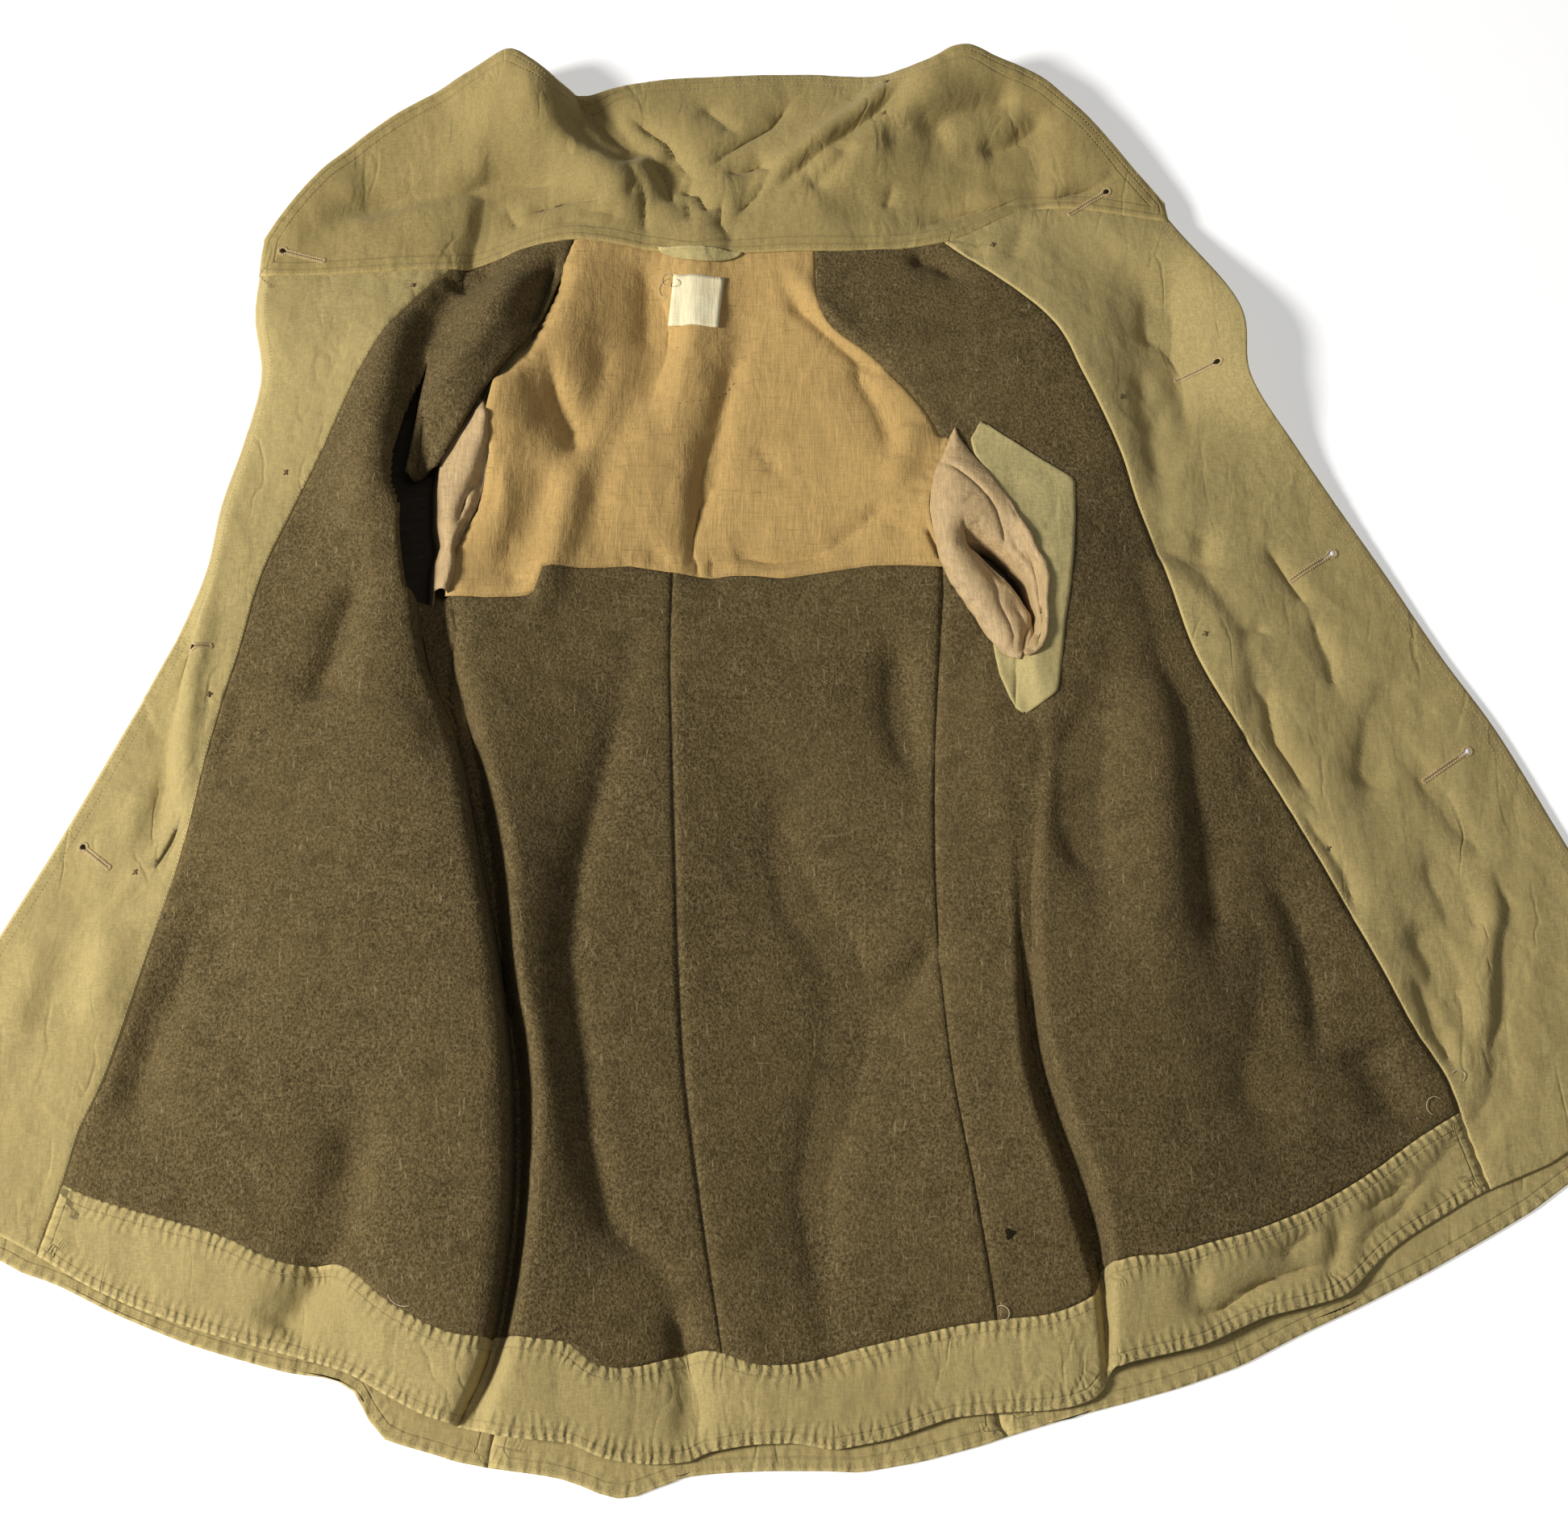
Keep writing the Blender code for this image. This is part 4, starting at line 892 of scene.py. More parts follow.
class Paint:
    """Small helper that wires a material, one node a call."""

    def __init__(self, name):
        self.material = bpy.data.materials.new(name)
        self.material.use_nodes = True
        self.tree = self.material.node_tree
        self.shader = self.tree.nodes["Principled BSDF"]
        self.place = self.tree.nodes.new("ShaderNodeTexCoord").outputs["Object"]

    def put(self, socket, value):
        """Links an output to a socket, or sets the socket's number, vector or colour."""
        if isinstance(value, bpy.types.NodeSocket):
            self.tree.links.new(value, socket)
        elif value is not None:
            socket.default_value = (*value, 1.0) if socket.type == "RGBA" else value

    def node(self, kind, sockets, **values):
        made = self.tree.nodes.new("ShaderNode" + kind)
        for key, value in values.items():
            setattr(made, key, value)
        for key, value in sockets.items():
            self.put(made.inputs[key], value)
        return made

    def mapping(self, scale, turn=(0, 0, 0)):
        sockets = {"Scale": scale, "Rotation": turn, "Vector": self.place}
        return self.node("Mapping", sockets).outputs["Vector"]

    def noise(self, scale, detail=2.0, roughness=0.5, source=None, distortion=0.0):
        sockets = {"Scale": scale, "Detail": detail, "Roughness": roughness, "Distortion": distortion,
                   "Vector": source or self.place}
        return self.node("TexNoise", sockets).outputs["Fac"]

    def math(self, operation, a, b=None):
        return self.node("Math", {0: a, 1: b}, operation=operation).outputs[0]

    def weighted(self, *terms):
        """Sum of (output, weight) pairs."""
        total = None
        for value, weight in terms:
            part = self.math("MULTIPLY", value, weight)
            total = part if total is None else self.math("ADD", total, part)
        return total

    def remap(self, value, low, high, to_low=0.0, to_high=1.0):
        sockets = {"Value": value, "From Min": low, "From Max": high, "To Min": to_low, "To Max": to_high}
        return self.node("MapRange", sockets, clamp=True).outputs["Result"]

    def mix(self, share, a, b):
        return self.node("Mix", {0: share, 6: a, 7: b}, data_type="RGBA").outputs[2]

    def over(self, colour, value, low, high, most, tint):
        """Colour with a tint laid over it, none where value is low and most of it where it is high."""
        return self.mix(self.remap(value, low, high, 0.0, most), colour, tint)

    def split(self, vector):
        return self.node("SeparateXYZ", {0: vector}).outputs

    def rim(self):
        """Along and away from the piece's own edge, metres."""
        return self.split(self.node("UVMap", {}, uv_map="rim").outputs[0])[:2]

    def line_at(self, away, distance, width):
        """1 on a line that runs at a distance from the edge, fading over width."""
        off = self.math("ABSOLUTE", self.math("SUBTRACT", away, distance))
        return self.remap(off, 0.0, width, 1.0, 0.0)

    def bump(self, height, distance, strength):
        sockets = {"Distance": distance, "Strength": strength, "Height": height}
        return self.node("Bump", sockets).outputs["Normal"]

    def done(self, colour, normal, roughness, sheen=0.0, tint=(1, 1, 1), specular=0.0):
        for key, value in (("Base Color", colour), ("Normal", normal), ("Roughness", roughness),
                           ("Specular IOR Level", specular), ("Sheen Weight", sheen),
                           ("Sheen Tint", tint), ("Sheen Roughness", 0.5)):
            self.put(self.shader.inputs[key], value)
        return self.material


def once(make):
    """Makes a material only the first time it is asked for."""
    made = {}

    def paint(*key):
        if key not in made:
            made[key] = make(*key)
        return made[key]
    return paint


def tone(colour, by):
    """A colour made lighter or darker."""
    return tuple(min(1.0, c * by) for c in colour)


@once
def wool_paint():
    p = Paint("melange_wool")
    main = tuple(settings().wool_colour)
    fine = p.noise(760, 3, 0.65)
    tufts = p.noise(520, 3, 0.6, distortion=0.4)
    patch = p.noise(60, 4, 0.65)
    colour = p.mix(p.remap(fine, 0.34, 0.68), tone(main, 0.48), tone(main, 1.50))
    colour = p.over(colour, tufts, 0.47, 0.72, 0.85, (0.235, 0.175, 0.088))
    colour = p.over(colour, tufts, 0.46, 0.28, 0.80, (0.036, 0.025, 0.013))
    colour = p.over(colour, p.noise(14, 3, 0.55), 0.35, 0.68, 0.30, tone(main, 1.5))
    colour = p.over(colour, patch, 0.50, 0.70, 0.45, tone(main, 0.50))
    # pale fibres lying two ways, and lint
    strands = p.noise(520, 2, 0.6, source=p.mapping((1.0, 0.16, 1.0), (0, 0, 0.7)))
    colour = p.over(colour, strands, 0.64, 0.74, 0.75, (0.30, 0.23, 0.12))
    strands = p.noise(480, 2, 0.6, source=p.mapping((0.14, 1.0, 1.0), (0, 0, -0.4)))
    colour = p.over(colour, strands, 0.64, 0.74, 0.65, (0.25, 0.195, 0.10))
    lint = p.node("TexVoronoi", {"Scale": 70, "Vector": p.place}).outputs["Distance"]
    rare = p.remap(p.noise(31, 2, 0.6), 0.62, 0.64)
    speck = p.math("MULTIPLY", p.remap(lint, 0.030, 0.050, 0.8, 0.0), rare)
    colour = p.mix(speck, colour, (0.45, 0.40, 0.30))
    normal = p.bump(p.weighted((tufts, 1.3), (fine, 0.7), (patch, 0.9)), 0.0011, 0.9)
    return p.done(colour, normal, 0.97, 0.08, (0.62, 0.52, 0.34), 0.08)


# khaki pieces: tint, slant of the creases, stitch lines in m from the edge, puckers' pitch in m and height
POPLIN_KINDS = {
    "facing": ((1.0, 1.0, 1.0), 0.45, (), 0.0085, 0.12),
    "collar": ((0.87, 0.845, 0.79), 1.1, (0.0045, 0.0098), 0.0085, 0.12),
    "hem": ((1.0, 1.0, 1.0), 0.9, (0.0062,), 0.0058, 0.6),
    "shell": ((1.0, 1.0, 1.0), 0.9, (0.0075,), 0.0085, 0.42),
    "plain": ((1.20, 1.27, 1.36), 0.9, (), 0.0085, 0.12),
}


@once
def poplin_paint(kind):
    """Khaki poplin, creased and soiled, with the stitch lines and puckers of one kind of piece."""
    p = Paint("khaki_poplin_" + kind)
    tint, turn, distances, pitch, pucker = POPLIN_KINDS[kind]
    main = tuple(c * t for c, t in zip(settings().poplin_colour, tint))
    weave = p.noise(900, 2, 0.6, source=p.mapping((1.0, 0.25, 1.0)))
    weft = p.noise(900, 2, 0.6, source=p.mapping((0.25, 1.0, 1.0)))
    cloth = p.math("ADD", weave, weft)
    slant = p.mapping((1.0, 0.36, 1.0), (0, 0, turn))
    creases = p.noise(46, 3, 0.5, source=slant, distortion=0.25)
    ridged = p.math("SUBTRACT", p.noise(26, 3, 0.5, source=slant, distortion=0.3), 0.5)
    ridged = p.remap(p.math("ABSOLUTE", ridged), 0.0, 0.035, 1.0, 0.0)
    ridged = p.math("MULTIPLY", ridged, p.remap(p.noise(13, 2, 0.5), 0.44, 0.60))
    grain = p.noise(150, 3, 0.6)
    warm = (main[0], main[1] * 0.97, main[2] * 0.92)
    colour = p.mix(p.remap(cloth, 0.82, 1.18), tone(main, 0.86), tone(main, 1.12))
    colour = p.over(colour, p.noise(9, 4, 0.6), 0.36, 0.66, 0.5, tone(warm, 0.84))
    colour = p.over(colour, creases, 0.50, 0.72, 0.30, tone(main, 1.22))
    colour = p.over(colour, grain, 0.56, 0.70, 0.25, tone(main, 0.74))
    colour = p.over(colour, p.noise(5.5, 5, 0.65), 0.60, 0.78, 0.35, (0.30, 0.20, 0.085))
    if kind == "collar":
        # a worn pale spot near the collar's left end
        sockets = {0: p.mapping((1.0, 0.42, 0.0)), 1: (-0.1415, 0.1658, 0.0)}
        spot = p.node("VectorMath", sockets, operation="DISTANCE").outputs["Value"]
        colour = p.mix(p.remap(spot, 0.0022, 0.0034, 0.55, 0.0), colour, tone(main, 1.45))
    along, away = p.rim()
    # lighter within about 2 mm of the rim: partly edge wear, partly a painted highlight on the rounded edge
    colour = p.mix(p.remap(away, 0.0008, 0.0022, 0.75, 0.0), colour, tone(main, 1.35))
    phase = p.weighted((along, 2 * math.pi / pitch), (p.noise(60, 2, 0.5), 9.0))
    puckers = p.math("MULTIPLY", p.math("SINE", phase), p.remap(away, 0.003, 0.016, 1.0, 0.0))
    puckers = p.math("MULTIPLY", puckers, p.remap(grain, 0.35, 0.65, 0.2, 1.2))
    terms = [(cloth, 0.12), (creases, 2.6), (ridged, -0.55), (grain, 0.35), (puckers, pucker)]
    lines = None
    for distance in distances:
        line = p.line_at(away, distance, 0.0009)
        lines = line if lines is None else p.math("MAXIMUM", lines, line)
    if lines is not None:
        # painted shade: the stitch lines' pressed grooves are painted darker
        colour = p.mix(p.math("MULTIPLY", lines, 0.20), colour, tone(main, 0.62))
        terms.append((lines, -0.5))
    return p.done(colour, p.bump(p.weighted(*terms), 0.0011, 0.8), 0.86, 0.12, (0.9, 0.85, 0.7), 0.18)


@once
def muslin_paint():
    p = Paint("slubby_muslin")
    main = tuple(settings().muslin_colour)
    warp = p.noise(900, 3, 0.7, source=p.mapping((1.0, 0.05, 1.0)))
    weft = p.noise(900, 3, 0.7, source=p.mapping((0.05, 1.0, 1.0)))
    slub = p.noise(420, 2, 0.7, source=p.mapping((0.08, 1.0, 1.0)))
    colour = p.mix(p.remap(warp, 0.36, 0.64), tone(main, 0.80), tone(main, 1.16))
    colour = p.over(colour, weft, 0.38, 0.64, 0.55, tone(main, 1.22))
    colour = p.over(colour, slub, 0.60, 0.72, 0.6, tone(main, 0.62))
    colour = p.over(colour, p.noise(16, 4, 0.6), 0.38, 0.68, 0.45, tone(main, 0.78))
    creases = p.noise(50, 4, 0.6, source=p.mapping((1.0, 0.45, 1.0), (0, 0, -0.35)), distortion=0.5)
    height = p.weighted((warp, 0.35), (weft, 0.35), (creases, 2.4), (slub, 0.4))
    return p.done(colour, p.bump(height, 0.0010, 0.8), 0.88, 0.1, (0.9, 0.8, 0.6), 0.18)


@once
def satin_paint():
    """Pinkish satin with painted shade: darker the lower it lies in the armholes."""
    p = Paint("sleeve_satin")
    main = tuple(settings().satin_colour)
    fine = p.noise(700, 2, 0.6, source=p.mapping((1.0, 0.12, 1.0), (0, 0, 0.5)))
    colour = p.mix(p.remap(fine, 0.38, 0.64), tone(main, 0.86), tone(main, 1.14))
    colour = p.over(colour, p.noise(40, 4, 0.6, distortion=0.8), 0.40, 0.66, 0.4, tone(main, 0.72))
    # painted shade: the satin goes near black where it lies low, deep in the armholes
    shade = p.remap(p.split(p.place)[2], 0.0050, 0.0135, 0.96, 0.0)
    colour = p.mix(shade, colour, (0.012, 0.008, 0.004))
    gathers = p.noise(120, 3, 0.6, source=p.mapping((0.30, 1.0, 1.0), (0, 0, 0.3)), distortion=0.8)
    height = p.weighted((fine, 0.2), (gathers, 1.6))
    return p.done(colour, p.bump(height, 0.0012, 0.8), 0.6, 0.05, (1.0, 0.85, 0.7), 0.3)


@once
def tape_paint():
    p = Paint("cream_tape")
    main = tuple(settings().label_colour)
    warp = p.noise(650, 2, 0.6, source=p.mapping((1.0, 0.08, 1.0)))
    weft = p.noise(650, 2, 0.6, source=p.mapping((0.08, 1.0, 1.0)))
    colour = p.mix(p.remap(warp, 0.38, 0.64), tone(main, 0.88), tone(main, 1.08))
    aged = (main[0], main[1] * 0.9, main[2] * 0.75)
    colour = p.over(colour, p.noise(60, 4, 0.6), 0.42, 0.70, 0.5, tone(aged, 0.85))
    return p.done(colour, p.bump(p.math("ADD", warp, weft), 0.0004, 0.7), 0.85, 0.05, (1, 0.9, 0.8), 0.2)


@once
def thread_paint(name, colour):
    p = Paint(name)
    twist = p.noise(1600, 1, 0.5)
    mixed = p.mix(p.remap(twist, 0.40, 0.62), tone(colour, 0.72), tone(colour, 1.2))
    return p.done(mixed, p.bump(twist, 0.0002, 0.6), 0.7, 0.1, (1, 0.95, 0.85), 0.3)


@once
def button_paint():
    p = Paint("brown_button_plastic")
    swirl = p.noise(220, 3, 0.6, distortion=1.5)
    colour = p.mix(p.remap(swirl, 0.35, 0.70), (0.030, 0.017, 0.009), (0.110, 0.066, 0.034))
    return p.done(colour, None, 0.34, specular=0.5)


@once
def white_paint():
    """The pale floor seen through an open buttonhole."""
    p = Paint("floor_through_eye")
    return p.done(p.mix(p.noise(500, 1, 0.5), (0.8, 0.8, 0.8), (0.95, 0.95, 0.95)), None, 1.0)


# near-black painted shade, laid in the buttonhole slits and the moth hole
@once
def painted_shade_paint():
    p = Paint("shaded_slit")
    return p.done(p.mix(p.noise(900, 1, 0.5), (0.010, 0.008, 0.005), (0.030, 0.022, 0.012)), None, 1.0)


# ---------------------------------------------------------------- cloth pieces

def pit():
    """Cells of the left armhole's opening."""
    return cells("arm_top", "yoke", "valley_l", "ridge_l")


def slot():
    """Cells of the narrow gap beside the shoulder tongue, where one looks down on the lining."""
    marks = no_cells()
    valley = first_column("valley_l")
    top, foot = first_row("chest") - ROWS // 2, first_row("arm_top") + ROWS
    for row in range(top, foot):
        wide = int(8.9 * eased((row - top) / ROWS) * eased((foot - row) / (1.5 * ROWS)))
        marks[row, valley - wide:valley] = True
    return marks


def mouth():
    """Cells well inside the right armhole's lining."""
    lay = lay_out()
    x, y = lay["x"] + MIDDLE[0], lay["y"] + MIDDLE[1]
    return inside_mouth((x[:-1, :-1] + x[1:, 1:]) / 2, (y[:-1, :-1] + y[1:, 1:]) / 2, 0.90)


def lip():
    """Cells of the yoke's strip that runs on beside the right armhole."""
    return cells("arm_top", "yoke", "side_r", "mouth_l")


def seam_cells():
    """Cells left of the back seam, which slips down into the valley below the yoke."""
    marks = no_cells()
    ridge, top = first_column("ridge_l"), first_row("yoke")
    for row in range(top, first_row("facing_top")):
        slip = int(11 * eased((row - top) / ROWS / 1.6 - 0.15))
        marks[row, ridge - slip:ridge] = True
    return marks


def draw_yoke(base, used):
    """Draws the yoke's left edge in to the gathered armhole seam."""
    lay = lay_out()
    width = lay["x"].shape[1]
    ridge = lay["x"][:, first_column("ridge_l")] + MIDDLE[0]
    seam = np.array(YOKE_SEAM_LEFT[::-1], dtype=float)
    edge = ridge[used // width]
    y = base[:, 1] + MIDDLE[1]
    wanted = np.interp(y, seam[:, 1], seam[:, 0])
    shift = np.where(y < seam[-1, 1], wanted - edge, 0)
    away = base[:, 0] + MIDDLE[0] - edge
    base[:, 0] += shift * (1 - eased(away / 48))
    gathers = np.sin(y * 1.15 + 1.5 * np.sin(y * 0.31)) * np.exp(-(away / 9) ** 2)
    base[:, 2] += 0.22 * gathers * (y < seam[-4, 1])
    beside = eased((y - seam[-3, 1]) / 12) * eased((348 - y) / 25) * np.exp(-(away / 7) ** 2)
    base[:, 2] = np.maximum(base[:, 2] - 7 * beside, 1.5)
    return base


def draw_tongue(base, used):
    """Narrows the shoulder tongue of the left front to its tip."""
    lay = lay_out()
    width = lay["x"].shape[1]
    rows, columns = used // width, used % width
    left, right = first_column("valley_l"), first_column("ridge_l")
    edge = lay["x"][:, right][rows] + MIDDLE[0]
    rim = lay["x"][:, left][rows] + MIDDLE[0]
    tip = np.array(TONGUE_EDGE[::-1], dtype=float)
    y = base[:, 1] + MIDDLE[1]
    wanted = np.interp(y, tip[:, 1], tip[:, 0])
    share = np.clip((base[:, 0] + MIDDLE[0] - rim) / np.maximum(edge - rim, 1), 0, 1)
    near = (columns > left) & (rows > first_row("shoulder")) & (rows <= first_row("arm_top"))
    near &= y < tip[-1, 1]
    base[:, 0] += np.where(near, (wanted - edge) * share, 0)
    return base


class COAT_OT_wool(bpy.types.Operator):
    """Cut the four wool lining pieces"""
    bl_idname = "coat.wool"
    bl_label = "Wool lining"

    def execute(self, context):
        wall = settings().wool_wall
        paint = wool_paint()
        jobs = (
            ("wool_lining_front_left",
             cells("neck", "facing_top", "facing_l", "ridge_l") & ~pit() & ~slot() & ~seam_cells(),
             "wool_front_left", (0.46, 0.75), 0.125),
            ("wool_lining_back_left", cells("yoke", "facing_top", "ridge_l", "centre") | seam_cells(),
             "wool_back_left", (0.19, 0.50), 0.070),
            ("wool_lining_back_right", cells("yoke", "facing_top", "centre", "side_r"),
             "wool_back_right", (0.19, 0.50), 0.084),
            ("wool_lining_front_right",
             cells("neck", "facing_top", "side_r", "facing_r") & ~mouth() & ~lip(),
             "wool_front_right", (0.40, 0.75), 0.130),
        )
        for name, marks, node, flat, area in jobs:
            bend = draw_tongue if node == "wool_front_left" else None
            made = cut_cloth(name, marks, wall, "wool", dip=1.0, pucker=0.2, wave=17, bend=bend, fade=0.75)
            finish(made, paint, "olive_wool", node)
            UPPER.append(name)
        return {"FINISHED"}


class COAT_OT_yoke(bpy.types.Operator):
    """Cut the muslin yoke lining"""
    bl_idname = "coat.yoke"
    bl_label = "Yoke lining"

    def execute(self, context):
        made = cut_cloth("yoke_muslin", cells("neck", "yoke", "ridge_l", "side_r") | lip(),
                         1.4, "poplin", lift=0.5, dip=0.8, pucker=0.5, wave=8, bend=draw_yoke)
        finish(made, muslin_paint(), "tan_muslin", "yoke_lining")
        UPPER.append(made.name)
        return {"FINISHED"}


class COAT_OT_facings(bpy.types.Operator):
    """Cut the two front facings"""
    bl_idname = "coat.facings"
    bl_label = "Front facings"

    def execute(self, context):
        wall = settings().poplin_wall
        for name, left, right, node, flat, area in (
                ("facing_cloth_left", "edge_l", "facing_l", "facing_left", (0.20, 0.72), 0.054),
                ("facing_cloth_right", "facing_r", "edge_r", "facing_right", (0.24, 0.72), 0.090)):
            made = cut_cloth(name, cells("neck", "facing_foot", left, right), wall, "poplin",
                             lift=0.5, dip=0.35, pucker=0.15, wave=13)
            finish(made, poplin_paint("facing"), "khaki_poplin", node)
            UPPER.append(name)
        return {"FINISHED"}


class COAT_OT_hem_facing(bpy.types.Operator):
    """Cut the hem facing, whose lower edge is free"""
    bl_idname = "coat.hem_facing"
    bl_label = "Hem facing"

    def execute(self, context):
        made = cut_cloth("hem_facing_cloth", cells("facing_top", "facing_foot", "facing_l", "facing_r"),
                         settings().poplin_wall, "poplin", lift=0.9, dip=0.5, pucker=0.45, wave=12)
        finish(made, poplin_paint("hem"), "khaki_poplin", "hem_facing")
        UPPER.append(made.name)
        return {"FINISHED"}


class COAT_OT_outer_cloth(bpy.types.Operator):
    """Cut the outer cloth that the coat lies on, with its turned hem"""
    bl_idname = "coat.outer_cloth"
    bl_label = "Outer cloth"

    def execute(self, context):
        wall = settings().shell_wall
        jobs = (
            ("outer_cloth_front_left", cells("neck", "hem", "edge_l", "ridge_l"),
             "shell_front_left", (0.42, 0.80), 0.196),
            ("outer_cloth_back", cells("neck", "hem", "ridge_l", "side_r"),
             "shell_back", (0.36, 0.82), 0.211),
            ("outer_cloth_front_right", cells("neck", "hem", "side_r", "edge_r"),
             "shell_front_right", (0.54, 0.80), 0.239),
        )
        for name, marks, node, flat, area in jobs:
            made = cut_cloth(name, marks, wall, None, dip=0.0, pucker=0.0, step=2, level="shell")
            finish(made, poplin_paint("shell"), "khaki_poplin", node)
            UPPER.append(name)
        return {"FINISHED"}


def collar_net(rows, columns):
    """Collar points from the neck seam out to its edge, in mm, with the layout's own zero."""
    lay = lay_out()
    stations = np.array(COLLAR, dtype=float)
    neck_x, neck_y, neck_z = lay["x"][0] + MIDDLE[0], lay["y"][0] + MIDDLE[1], lay["z"][0]
    u = np.linspace(neck_x[0], neck_x[-1], columns)
    seam_y = np.interp(u, neck_x, neck_y) - 2.6
    seam_z = np.interp(u, neck_x, neck_z) + 1.3
    keys = stations[:, 0]
    i = np.clip(np.searchsorted(keys, u) - 1, 0, len(keys) - 2)
    run = keys[i + 1] - keys[i]
    t = np.clip((u - keys[i]) / run, 0, 1)
    edge = []
    for knots in stations[:, 1:].T:
        slopes = even_slopes(keys[None, :], knots[None, :])[0]
        edge.append(smoothed(hermite(knots[i], knots[i + 1], slopes[i], slopes[i + 1], run, t), 3))
    net = np.zeros((rows, columns, 3))
    for s in range(rows):
        t = s / (rows - 1)
        lift = eased(t)
        net[s, :, 0] = u * (1 - t) + edge[0] * t
        net[s, :, 1] = seam_y * (1 - t) + edge[1] * t
        net[s, :, 2] = seam_z * (1 - lift) + edge[2] * lift + edge[3] * math.sin(math.pi * t)
    return net


class COAT_OT_collar(bpy.types.Operator):
    """Lay out the collar, upper side and under side"""
    bl_idname = "coat.collar"
    bl_label = "Collar"

    def execute(self, context):
        net = collar_net(72, 280)
        x, y = net[:, :, 0], net[:, :, 1]
        net[:, :, 2] += 1.05 * fold_relief(x, y) * eased(np.linspace(0, 5, len(net)))[:, None]
        net[:, :, 2] += 0.9 * rumple(x, y, 42, 2.2) + 0.45 * rumple(x, y, 15, 4.4)
        net[:, :, 2] = np.maximum(net[:, :, 2], 2.6)
        net[:, :, :2] -= MIDDLE
        coarse = net[::-1][::2][::-1][:, ::3]     # keeps the outer edge
        for name, node, piece, drop, wall in (
                ("collar_cloth", "collar", net, 0.0, 2.2),
                ("under_collar_cloth", "under_collar", coarse, 2.3, 1.8)):
            piece = piece.copy()
            piece[:, :, 2] = np.maximum(piece[:, :, 2] - drop, 0.2)
            rows, columns = piece.shape[:2]
            grid = np.arange(rows * columns).reshape(rows, columns)
            quads = np.column_stack([grid[:-1, :-1].ravel(), grid[:-1, 1:].ravel(),
                                     grid[1:, 1:].ravel(), grid[1:, :-1].ravel()])
            base = piece.reshape(-1, 3).copy()
            away, run = rim_distance(base[:, :2], rim_of(quads))
            phase = 1.7 * np.sin(run / 37.0)
            swing = 0.5 + 0.5 * np.sin(run / 41.0)
            ripple = np.sin(run * 2 * math.pi / 11 + phase)
            base[:, 2] += 0.16 * swing * ripple * np.exp(-((away - 5) / 7) ** 2)
            base[:, 2] -= 0.5 * np.exp(-(away / 2.2) ** 2)
            base[:, 2] = np.maximum(base[:, 2], 0.1)
            normals = grid_normals(piece[:, :, 0], piece[:, :, 1], piece[:, :, 2]).reshape(-1, 3)
            if normals[:, 2].mean() < 0:
                normals = -normals
            made = add_cloth(name, base, quads, wall, normals, np.column_stack([run, away]) * MM)
            finish(made, poplin_paint("collar"), "khaki_poplin", node)
        UPPER.append("collar_cloth")
        return {"FINISHED"}


def sleeve_tube(spine):
    """Points in mm and faces of one flattened sleeve, open at both ends, with a wall."""
    path = np.array(spine, dtype=float)
    sides, steps, wall = 20, 40, 2.6
    points, faces = [], []
    for k in range(steps + 1):
        share = k / steps
        at = share * (len(path) - 1)
        i = min(int(at), len(path) - 2)
        cx, cy = path[i] * (1 - at + i) + path[i + 1] * (at - i)
        half = (SLEEVE_WIDTH[0] * (1 - share) + SLEEVE_WIDTH[1] * share) / 2
        for inset in (0.0, wall):
            w = half - inset
            for s in range(sides + 1):
                points.append((cx + (-1 + 2 * s / sides) * (w - 3), cy, inset + 0.1))
            for s in range(sides + 1):
                a = 1 - 2 * s / sides
                top = inset + (SLEEVE_TOP - 2 * inset) * (1 - 0.65 * abs(a) ** 4)
                points.append((cx + a * w, cy, top + 0.25 * math.sin(cy / 9 + a * 4) * (inset == 0)))
    ring = 2 * (sides + 1)
    for k in range(steps):
        a, b = 2 * ring * k, 2 * ring * (k + 1)
        for s in range(ring):
            n = (s + 1) % ring
            faces.append((a + s, a + n, b + n, b + s))
            faces.append((a + ring + s, b + ring + s, b + ring + n, a + ring + n))
    end = 2 * ring * steps
    for s in range(ring):
        n = (s + 1) % ring
        faces.append((s, ring + s, ring + n, n))
        faces.append((end + s, end + n, end + ring + n, end + ring + s))
    return points, faces


class COAT_OT_sleeves(bpy.types.Operator):
    """Make the two flattened sleeves that lie under the fronts"""
    bl_idname = "coat.sleeves"
    bl_label = "Sleeves"

    def execute(self, context):
        for side, spine in SLEEVE_SPINES.items():
            points, faces = sleeve_tube(spine)
            moved = [((x - MIDDLE[0]) * MM, (y - MIDDLE[1]) * MM, z * MM) for x, y, z in points]
            made = add_mesh("sleeve_cloth_" + side, moved, faces, smooth=True)
            made.data.uv_layers.new(name="rim")
            finish(made, poplin_paint("plain"), "khaki_poplin", "sleeve_" + side)
        return {"FINISHED"}


def even_path(path, count):
    """The path's points at even steps of its length."""
    path = np.array(path, dtype=float)
    return places_at(path, np.linspace(0, lengths_along(path)[-1], count))


def flat_net(left, right, rows, columns):
    """Flat net between two edges given as (x, y) points."""
    t = np.linspace(0, 1, rows)
    sides = []
    for path in (np.array(left, dtype=float), np.array(right, dtype=float)):
        length = lengths_along(path)
        length /= length[-1]
        sides.append(np.column_stack([np.interp(t, length, path[:, k]) for k in (0, 1)]))
    u = np.linspace(0, 1, columns)
    net = np.zeros((rows, columns, 3))
    for k in (0, 1):
        net[:, :, k] = sides[0][:, None, k] * (1 - u) + sides[1][:, None, k] * u - MIDDLE[k]
    return net


def crease(net, depth, width, points):
    """Presses one narrow fold into a net, deepest at its middle."""
    away, share = near_path(net[:, :, 0], net[:, :, 1], points)
    net[:, :, 2] -= depth * np.exp(-(away / width) ** 1.4) * np.clip(5 * share * (1 - share) + 0.3, 0, 1)


